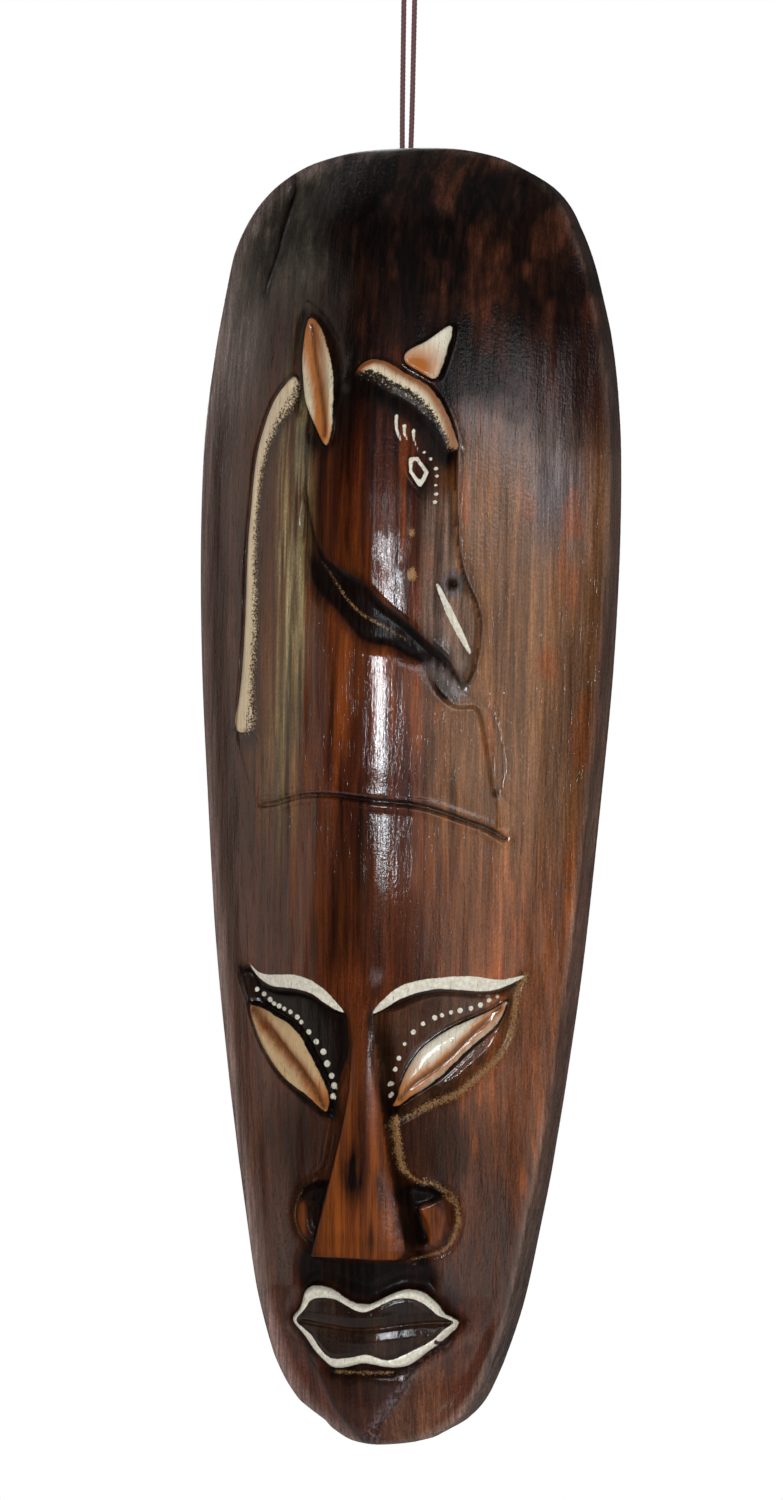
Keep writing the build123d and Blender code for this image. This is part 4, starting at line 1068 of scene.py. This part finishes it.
verts = [row(lean(x, z), D, z)]
n_front = len(x)
faces = []
idx = np.arange(n_front).reshape(NZ, NX)
a, b, c, d = idx[:-1, :-1], idx[:-1, 1:], idx[1:, 1:], idx[1:, :-1]
quads = np.stack([a, b, c, d], -1).reshape(-1, 4)
loop = np.concatenate([idx[0, :], idx[1:, -1], idx[-1, -2::-1], idx[-2:0:-1, 0]])
NW = 10
wall_v = []
for k in range(1, NW + 1):
    f = k / NW
    dd = D[loop] * (1 - f)
    rough = 0.18 * fbm(loop * 0.02, np.full(len(loop), k * 0.9), 61) * math.sin(f * math.pi)
    cx, cz = x[loop], z[loop]
    nrm = np.stack([cx / 80.0, (cz - 250) / 250.0], 1)
    nrm /= np.linalg.norm(nrm, axis=1)[:, None] + 1e-9
    edge = -0.7 if k == NW else 0.0
    wall_v.append(row(lean(cx, cz) + nrm[:, 0] * (rough + edge), dd, cz + nrm[:, 1] * (rough + edge) * (np.abs(cx) < 60)))
verts += wall_v
nl_ = len(loop)
rings = [loop] + [n_front + k * nl_ + np.arange(nl_) for k in range(NW)]
wall_q = []
for r0, r1 in zip(rings[:-1], rings[1:]):
    wall_q.append(np.stack([r0, r1, np.roll(r1, -1), np.roll(r0, -1)], -1))
wall_q = np.concatenate(wall_q)
start_back = n_front + NW * nl_
verts.append(row(lean(xb, zbk), hol, zbk))
bidx = start_back + np.arange(len(xb)).reshape(len(ZB), NB)
back_q = np.stack([bidx[:-1, :-1], bidx[1:, :-1], bidx[1:, 1:], bidx[:-1, 1:]], -1).reshape(-1, 4)
bloop = np.concatenate([bidx[0, :], bidx[1:, -1], bidx[-1, -2::-1], bidx[-2:0:-1, 0]])
V = np.concatenate(verts)
outer = rings[-1]


def angle(i):
    px, pz = V[i, 0] * 1000 - SHIFT_X, V[i, 2] * 1000 - BASE_Z
    ang = np.unwrap(np.arctan2(px, -(pz - 250.0)))
    return ang


ao, ab = angle(outer), angle(bloop)
k0 = int(np.argmin(np.abs(ao)))
outer = np.roll(outer, -k0)
k1 = int(np.argmin(np.abs(ab)))
bloop2 = np.roll(bloop, -k1)
ao, ab = angle(outer), angle(bloop2)
ao, ab = np.r_[ao, ao[0] + 2 * math.pi], np.r_[ab, ab[0] + 2 * math.pi]
i = j = 0
strip = []
no, nb = len(outer), len(bloop2)
while i < no or j < nb:
    if j >= nb or (i < no and ao[i + 1] <= ab[j + 1]):
        strip.append((outer[i], bloop2[j % nb], outer[(i + 1) % no]))
        i += 1
    else:
        strip.append((outer[i % no], bloop2[j], bloop2[(j + 1) % nb]))
        j += 1
strip = np.array(strip)

me = bpy.data.meshes.new("mask_carved")
quad_all = np.concatenate([quads, wall_q, back_q])
nv, nq, nt_ = len(V), len(quad_all), len(strip)
me.vertices.add(nv)
me.vertices.foreach_set("co", V.astype(np.float32).ravel())
me.loops.add(nq * 4 + nt_ * 3)
me.loops.foreach_set("vertex_index", np.concatenate([quad_all.ravel(), strip.ravel()]).astype(np.int32))
me.polygons.add(nq + nt_)
starts = np.concatenate([np.arange(nq) * 4, nq * 4 + np.arange(nt_) * 3]).astype(np.int32)
me.polygons.foreach_set("loop_start", starts)
mat_i = np.concatenate([np.zeros(len(quads) + len(wall_q), np.int32), np.ones(len(back_q) + nt_, np.int32)])
me.polygons.foreach_set("material_index", mat_i)
me.polygons.foreach_set("use_smooth", np.ones(nq + nt_, bool))
me.update(calc_edges=True)
me.validate()


def store(name, front_values, rest=0.0):
    at = me.attributes.new(name, "FLOAT", "POINT")
    full = np.full(nv, rest, np.float32)
    full[:n_front] = front_values
    if rest is None:
        full[n_front:] = 0
    at.data.foreach_set("value", full)


def store_wall(name, front_values, rest):
    full = np.full(nv, rest, np.float32)
    full[:n_front] = front_values
    for k in range(NW):
        full[n_front + k * nl_: n_front + (k + 1) * nl_] = front_values[loop]
    at = me.attributes.new(name, "FLOAT", "POINT")
    at.data.foreach_set("value", full)


store("white_sd", white, -3.0)
store("cream_sd", cream, -4.0)
store("cream_soft", soft, 0.0)
gloss = np.ones(x.shape)
gloss -= 0.9 * gauss(np.hypot(x - 3.0, (z - 188.0) / 1.4), 11.0)
gloss -= 0.6 * sst(side_d, -10.0, -4.0) * (side_d < 0) * sst(z, 96, 104) * sst(166 - z, 0, 12)
gloss -= 0.75 * sst(side_d, -4.0, -1.0) * sst(z, 70, 76) * sst(212 - z, 0, 16)
gloss -= 0.85 * gauss(np.maximum(-sdLO, 0), 3.4) * (sdLO < 0) + 0.6 * gauss(cc, 3.0)
gloss -= np.maximum(0.45 * sst(sdLO, -5.0, 0.0), 0.8 * sst(sdPh, -5.0, -1.0)) * (nose < 0.5)
gloss -= 0.94 * sst(z, 344, 356) * sst(404 - z, 0, 10) * (sdHead > 0)
gloss -= 0.85 * (1 - sst(x, 2.0, 5.0) * sst(17.0 - x, 0.0, 3.0)) * sst(sdHead, 0.0, 2.0) * sst(z, 300, 312) * sst(404 - z, 0, 10) * sst(x, -26, -18)
gloss -= 0.95 * gauss(bl, 6.0) * (sdHead > 0)
gloss -= 0.5 * gauss(np.maximum(-sdEarL, 0), 4.0) * (sdEarL < 0)
gloss -= 0.3 * sst(sdJaw, -1, 2) * sst(z, 292, 302)
gloss -= 0.8 * gauss(np.hypot(x + 27.5, (z - 360.0) / 1.5), 5.0)
gloss -= 0.75 * sst(224 - z, 0, 18) * sst(z, 158, 174) * sst(26 - np.abs(x), 0, 12)
gloss -= 0.75 * np.clip(below_eye, 0, 1)
gloss -= (0.42 + 0.55 * fbm(x / 1.3, z / 3.0, 111, 3)) * sst(z, 320, 334) * (sdHead > 0) * sst(x, -8, -2)
gloss -= 0.9 * gauss(sock["R"][1], 3.0)
gloss -= 0.6 * gauss(sock["L"][0], 3.0)
gloss -= 0.5 * sst(sdSL, 0.0, 1.5)
gloss -= 0.7 * gauss(np.hypot(x - 2.0, (z - 222.0) / 2.0), 9.0)
gloss -= 0.6 * gauss(np.hypot(x - 27.0, z - 17.0), 9.0)
gloss -= 0.55 * sst(34 - z, 0, 10)
gloss += 0.7 * gauss(line(CHIN_R)[0], 2.6) * sst(34 - z, 0, 8) * sst(z, 6, 12) * sst(fbm(x / 2.2, z / 2.2, 117, 3), -0.2, 0.25)
gloss -= 0.72 * crown
gloss -= 0.9 * gauss(np.hypot(x + 47.0, z - 484.0), 7.0)
gloss -= 0.8 * sst(sdWL, -5, -1) * (nose < 0.5) + 0.4 * np.maximum(sst(sdHR, -2, 0), sst(sdCR, -2, 0)) * (nose < 0.5)
gloss -= 0.5 * np.maximum(np.maximum(sst(sdWR, -4, 0), sst(sdWL, -4, 0)), 1.3 * sst(sdJaw, -2, 1) * sst(z, 292, 302)) * (nose < 0.5)
store_wall("gloss", np.clip(gloss, 0.05, 1.0), 0.25)
store("spray", spray, 0.0)
dark = np.clip(dark - 0.46 * sst(fbm(x / 6.0, z / 15.0, 113, 3), -0.2, 0.35) * sst(z, 412, 440) * sst(x, 6, 26), 0, 1)
store_wall("shade", dark, 0.2)
store_wall("glow", glow, 0.0)
for nm, arr, rest in (("paint_col", rgb, (0.5, 0.4, 0.3)), ("stain_and_light_col", stain_and_painted_light, (0.12, 0.06, 0.03))):
    full = np.ones((nv, 4), np.float32)
    full[:, :3] = rest
    full[:n_front, :3] = arr
    # the side wall is lighter than the front, less so towards the back: painted rim reflection
    if nm == "stain_and_light_col":
        for k in range(NW):
            full[n_front + k * nl_: n_front + (k + 1) * nl_, :3] = arr[loop] * (1.3 - 0.25 * (k + 1) / NW)
    at = me.attributes.new(nm, "FLOAT_COLOR", "POINT")
    at.data.foreach_set("color", full.ravel())
mask = bpy.data.objects.new("mask_carved_block", me)
bpy.context.scene.collection.objects.link(mask)
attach(mask, "mask")
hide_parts("mask_body")

# ---------------------------------------------------------------------------
# Varnished front
# ---------------------------------------------------------------------------
mat_front, N = new_material("carved_wood_varnished")
g1 = N.coords((520, 260, 16))
g2 = N.coords((1500, 700, 40))
g3 = N.coords((150, 100, 9))
g4 = N.coords((1000, 1000, 1000))
grain = N.noise(g1, 1.0, 6, 0.62, 0.35)
fine = N.noise(g2, 1.0, 4, 0.6)
bandn = N.noise(g3, 1.0, 5, 0.6, 0.8)
stain_light_c = N.attr("stain_and_light_col", True)
grain_m = N.ramp(grain, 0.32, 0.70, 0.70, 1.28)
fine_m = N.ramp(fine, 0.3, 0.75, 0.68, 1.30)
salt = N.noise(N.coords((1500, 1500, 900)), 1.0, 3, 0.65)
fine_m = N.math("MULTIPLY", fine_m, N.ramp(salt, 0.3, 0.7, 0.76, 1.26))
band_m = N.ramp(bandn, 0.30, 0.72, 0.62, 1.42)
mult = N.math("MULTIPLY", N.math("MULTIPLY", grain_m, fine_m), band_m)
comb = N.add("ShaderNodeCombineColor")
for k, p in enumerate((1.0, 1.0, 1.0)):
    N.put(comb.inputs[k], mult)
wood = N.mix(1.0, stain_light_c, comb.outputs[0], "MULTIPLY")
# rubbed orange wood
orange = N.mix(N.ramp(bandn, 0.36, 0.66), srgb(92, 42, 17), srgb(140, 72, 26))
orange = N.mix(N.ramp(grain, 0.36, 0.58, 0.6, 0.0), orange, srgb(50, 24, 14))
wood = N.mix(N.attr("glow"), wood, orange)
# dark spray and painted shade
speck = N.noise(g4, 1.6, 3, 0.7)
shade_v = N.math("ADD", N.attr("shade"), N.math("MULTIPLY", N.math("SUBTRACT", speck, 0.5), 0.22))
shade_v = N.math("MULTIPLY", N.ramp(shade_v, 0.05, 0.90, smooth=False), 0.985)
darkc = N.mix(N.ramp(grain, 0.40, 0.80), srgb(7, 5, 4), srgb(30, 15, 9))
wood = N.mix(shade_v, wood, darkc)
# cream and orange paint with brushed or sprayed edges
cr_sd, cr_soft = N.attr("cream_sd"), N.attr("cream_soft")
n1 = N.math("SUBTRACT", N.noise(g4, 1.5, 3, 0.75), 0.5)
amp = N.math("MULTIPLY_ADD", cr_soft, 9.5, 0.5)
sdn = N.math("ADD", cr_sd, N.math("MULTIPLY", n1, amp))
width = N.math("MULTIPLY_ADD", cr_soft, 1.3, 0.22)
cr_mask = N.ramp(N.math("DIVIDE", sdn, width), -0.5, 1.0)
paintc = N.mix(N.ramp(fine, 0.3, 0.7, 0.0, 0.35), N.attr("paint_col", True), srgb(150, 118, 78))
paintc = N.mix(N.ramp(N.noise(g4, 0.9, 3, 0.6), 0.55, 0.8, 0.0, 0.3), paintc, srgb(120, 84, 52))
sp = N.math("ADD", N.attr("spray"), N.math("MULTIPLY", N.math("SUBTRACT", N.noise(g4, 1.15, 3, 0.75), 0.5), 3.3))
paintc = N.mix(N.ramp(sp, 0.42, 0.80, 0.0, 0.985), paintc, srgb(26, 17, 13))
wood = N.mix(cr_mask, wood, paintc)
# white brush strokes
w_sd = N.math("ADD", N.attr("white_sd"), N.math("MULTIPLY", N.math("SUBTRACT", N.noise(g4, 1.8, 3, 0.65), 0.5), 0.5))
w_mask = N.ramp(w_sd, -0.12, 0.16)
whitec = N.mix(N.ramp(N.noise(g4, 0.7, 4, 0.6), 0.3, 0.75), srgb(196, 187, 166), srgb(226, 220, 204))
wood = N.mix(w_mask, wood, whitec)
# pores
pore = N.noise(N.coords((2600, 1300, 95)), 1.0, 2, 0.5)
pore_m = N.ramp(pore, 0.64, 0.72)
wood = N.mix(N.math("MULTIPLY", pore_m, 0.6), wood, srgb(22, 12, 9))
rough = N.ramp(grain, 0.3, 0.7, 0.38, 0.52)
rough = N.math("ADD", rough, N.math("MULTIPLY", w_mask, 0.10))
h_ = N.math("ADD", N.math("MULTIPLY", grain, 0.32), N.math("MULTIPLY", fine, 0.26))
h_ = N.math("SUBTRACT", h_, N.math("MULTIPLY", pore_m, 0.25))
h_ = N.math("ADD", h_, N.math("MULTIPLY", w_mask, 0.35))
nrm = N.bump(h_, 0.6, 0.00035)
dashes = N.noise(N.coords((900, 900, 170)), 1.0, 3, 0.6)
nrm = N.bump(dashes, 0.35, 0.0002, nrm)
orange_peel = N.noise(g4, 0.8, 3, 0.6)
nrm = N.bump(orange_peel, 0.20, 0.0004, nrm)
b = N.principled(wood, rough, nrm, Coat_IOR=1.5, Specular_IOR_Level=0.03)
N.put(b.inputs["Coat Weight"], N.math("MULTIPLY", N.attr("gloss"), 0.95))
b.inputs["Coat Roughness"].default_value = 0.11
N.put(b.inputs["Coat Normal"], nrm)

# raw wood of the back
mat_back, N = new_material("carved_wood_raw")
b1 = N.coords((420, 300, 14))
b2 = N.coords((1600, 900, 46))
grain = N.noise(b1, 1.0, 6, 0.62, 0.5)
fine = N.noise(b2, 1.0, 4, 0.6)
rawc = N.mix(N.ramp(grain, 0.3, 0.72), srgb(122, 84, 52), srgb(186, 146, 98))
rawc = N.mix(N.ramp(fine, 0.35, 0.75, 0.0, 0.5), rawc, srgb(106, 70, 42))
blot = N.noise(N.coords((26, 26, 14)), 1.0, 4, 0.6)
rawc = N.mix(N.ramp(blot, 0.48, 0.75, 0.0, 0.6), rawc, srgb(84, 50, 30))
nrm = N.bump(N.math("ADD", N.math("MULTIPLY", grain, 0.7), N.math("MULTIPLY", fine, 0.4)), 0.5, 0.0006)
N.principled(rawc, N.ramp(fine, 0.3, 0.7, 0.62, 0.8), nrm, Specular_IOR_Level=0.35)
me.materials.append(mat_front)
me.materials.append(mat_back)

# zinc-plated steel of the screw eye
mat_steel, N = new_material("zinc_steel")
v = N.coords((900, 900, 900))
n1 = N.noise(v, 1.0, 4, 0.6)
steelc = N.mix(N.ramp(n1, 0.3, 0.75), srgb(132, 132, 130), srgb(188, 188, 190))
steelc = N.mix(N.ramp(N.noise(v, 0.35, 3, 0.6), 0.55, 0.8, 0, 0.5), steelc, srgb(98, 88, 74))
N.principled(steelc, N.ramp(n1, 0.2, 0.8, 0.26, 0.46), N.bump(N.noise(v, 2.5, 3, 0.6), 0.25, 0.0001), Metallic=1.0)
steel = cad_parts["screw_eye"]
steel.data.materials.clear()
steel.data.materials.append(mat_steel)

# ---------------------------------------------------------------------------
# Stage: pale floor, soft studio light, white surroundings
# ---------------------------------------------------------------------------
fm = bpy.data.meshes.new("floor")
n = 96
fl = [(1.15 * math.cos(2 * math.pi * i / n), 1.15 * math.sin(2 * math.pi * i / n), -0.98) for i in range(n)]
fm.from_pydata(fl, [], [tuple(range(n))])
floor = bpy.data.objects.new("floor", fm)
bpy.context.scene.collection.objects.link(floor)
mat_floor, N = new_material("pale_floor")
fn = N.noise(N.coords((6, 6, 6)), 1.0, 4, 0.5)
N.principled(N.mix(fn, (0.82, 0.82, 0.81, 1), (0.88, 0.88, 0.87, 1)), 0.7)
fm.materials.append(mat_floor)

world = bpy.data.worlds.new("surroundings")
bpy.context.scene.world = world
world.use_nodes = True
W = Nodes(world.node_tree)
tc = W.add("ShaderNodeTexCoord")
sep = W.add("ShaderNodeSeparateXYZ")
W.t.links.new(tc.outputs["Generated"], sep.inputs[0])
behind = W.ramp(sep.outputs[1], -0.35, 0.75)
lit = W.mix(behind, (0.045, 0.045, 0.05, 1), (0.06, 0.055, 0.055, 1))
lp = W.add("ShaderNodeLightPath")
colour = W.mix(lp.outputs["Is Camera Ray"], lit, (1, 1, 1, 1))
bg = W.add("ShaderNodeBackground")
W.put(bg.inputs["Color"], colour)
bg.inputs["Strength"].default_value = 1.0
wo = W.add("ShaderNodeOutputWorld")
W.t.links.new(bg.outputs[0], wo.inputs["Surface"])


def softbox(name, azimuth, elevation, distance, width, height, radiance, colour=(1, 1, 1)):
    az, el = math.radians(azimuth), math.radians(elevation)
    aim = Vector((SHIFT_X / 1000.0, -0.05, -0.27))
    pos = aim + Vector((math.sin(az) * math.cos(el), -math.cos(az) * math.cos(el), math.sin(el))) * distance
    ld = bpy.data.lights.new(name, "AREA")
    ld.shape = "RECTANGLE"
    ld.size, ld.size_y = width, height
    ld.energy = radiance * width * height * math.pi
    ld.color = colour
    ob = bpy.data.objects.new(name, ld)
    ob.location = pos
    ob.rotation_euler = (aim - pos).to_track_quat("-Z", "Y").to_euler()
    bpy.context.scene.collection.objects.link(ob)
    return ob


softbox("window_key", 11.5, 0.9, 2.2, 0.25, 0.66, 74.0, (0.90, 0.95, 1.0))
softbox("right_wall", 48.0, -8.0, 2.4, 1.1, 2.0, 1.3, (1.0, 0.92, 0.84))
softbox("right_window", 43.0, 15.0, 2.4, 0.75, 0.45, 4.0, (0.98, 0.95, 0.98))
softbox("left_wall", -80.0, 2.0, 2.4, 1.4, 2.2, 0.72, (1.0, 0.88, 0.76))
softbox("ceiling", 10.0, 78.0, 2.2, 2.0, 2.0, 0.2)
softbox("rear_fill", -142.0, 28.0, 2.4, 1.8, 1.8, 2.8)

scene = bpy.context.scene
scene.view_settings.view_transform = "Standard"
scene.view_settings.look = "None"
scene.view_settings.exposure = 0.0
scene.view_settings.gamma = 1.0
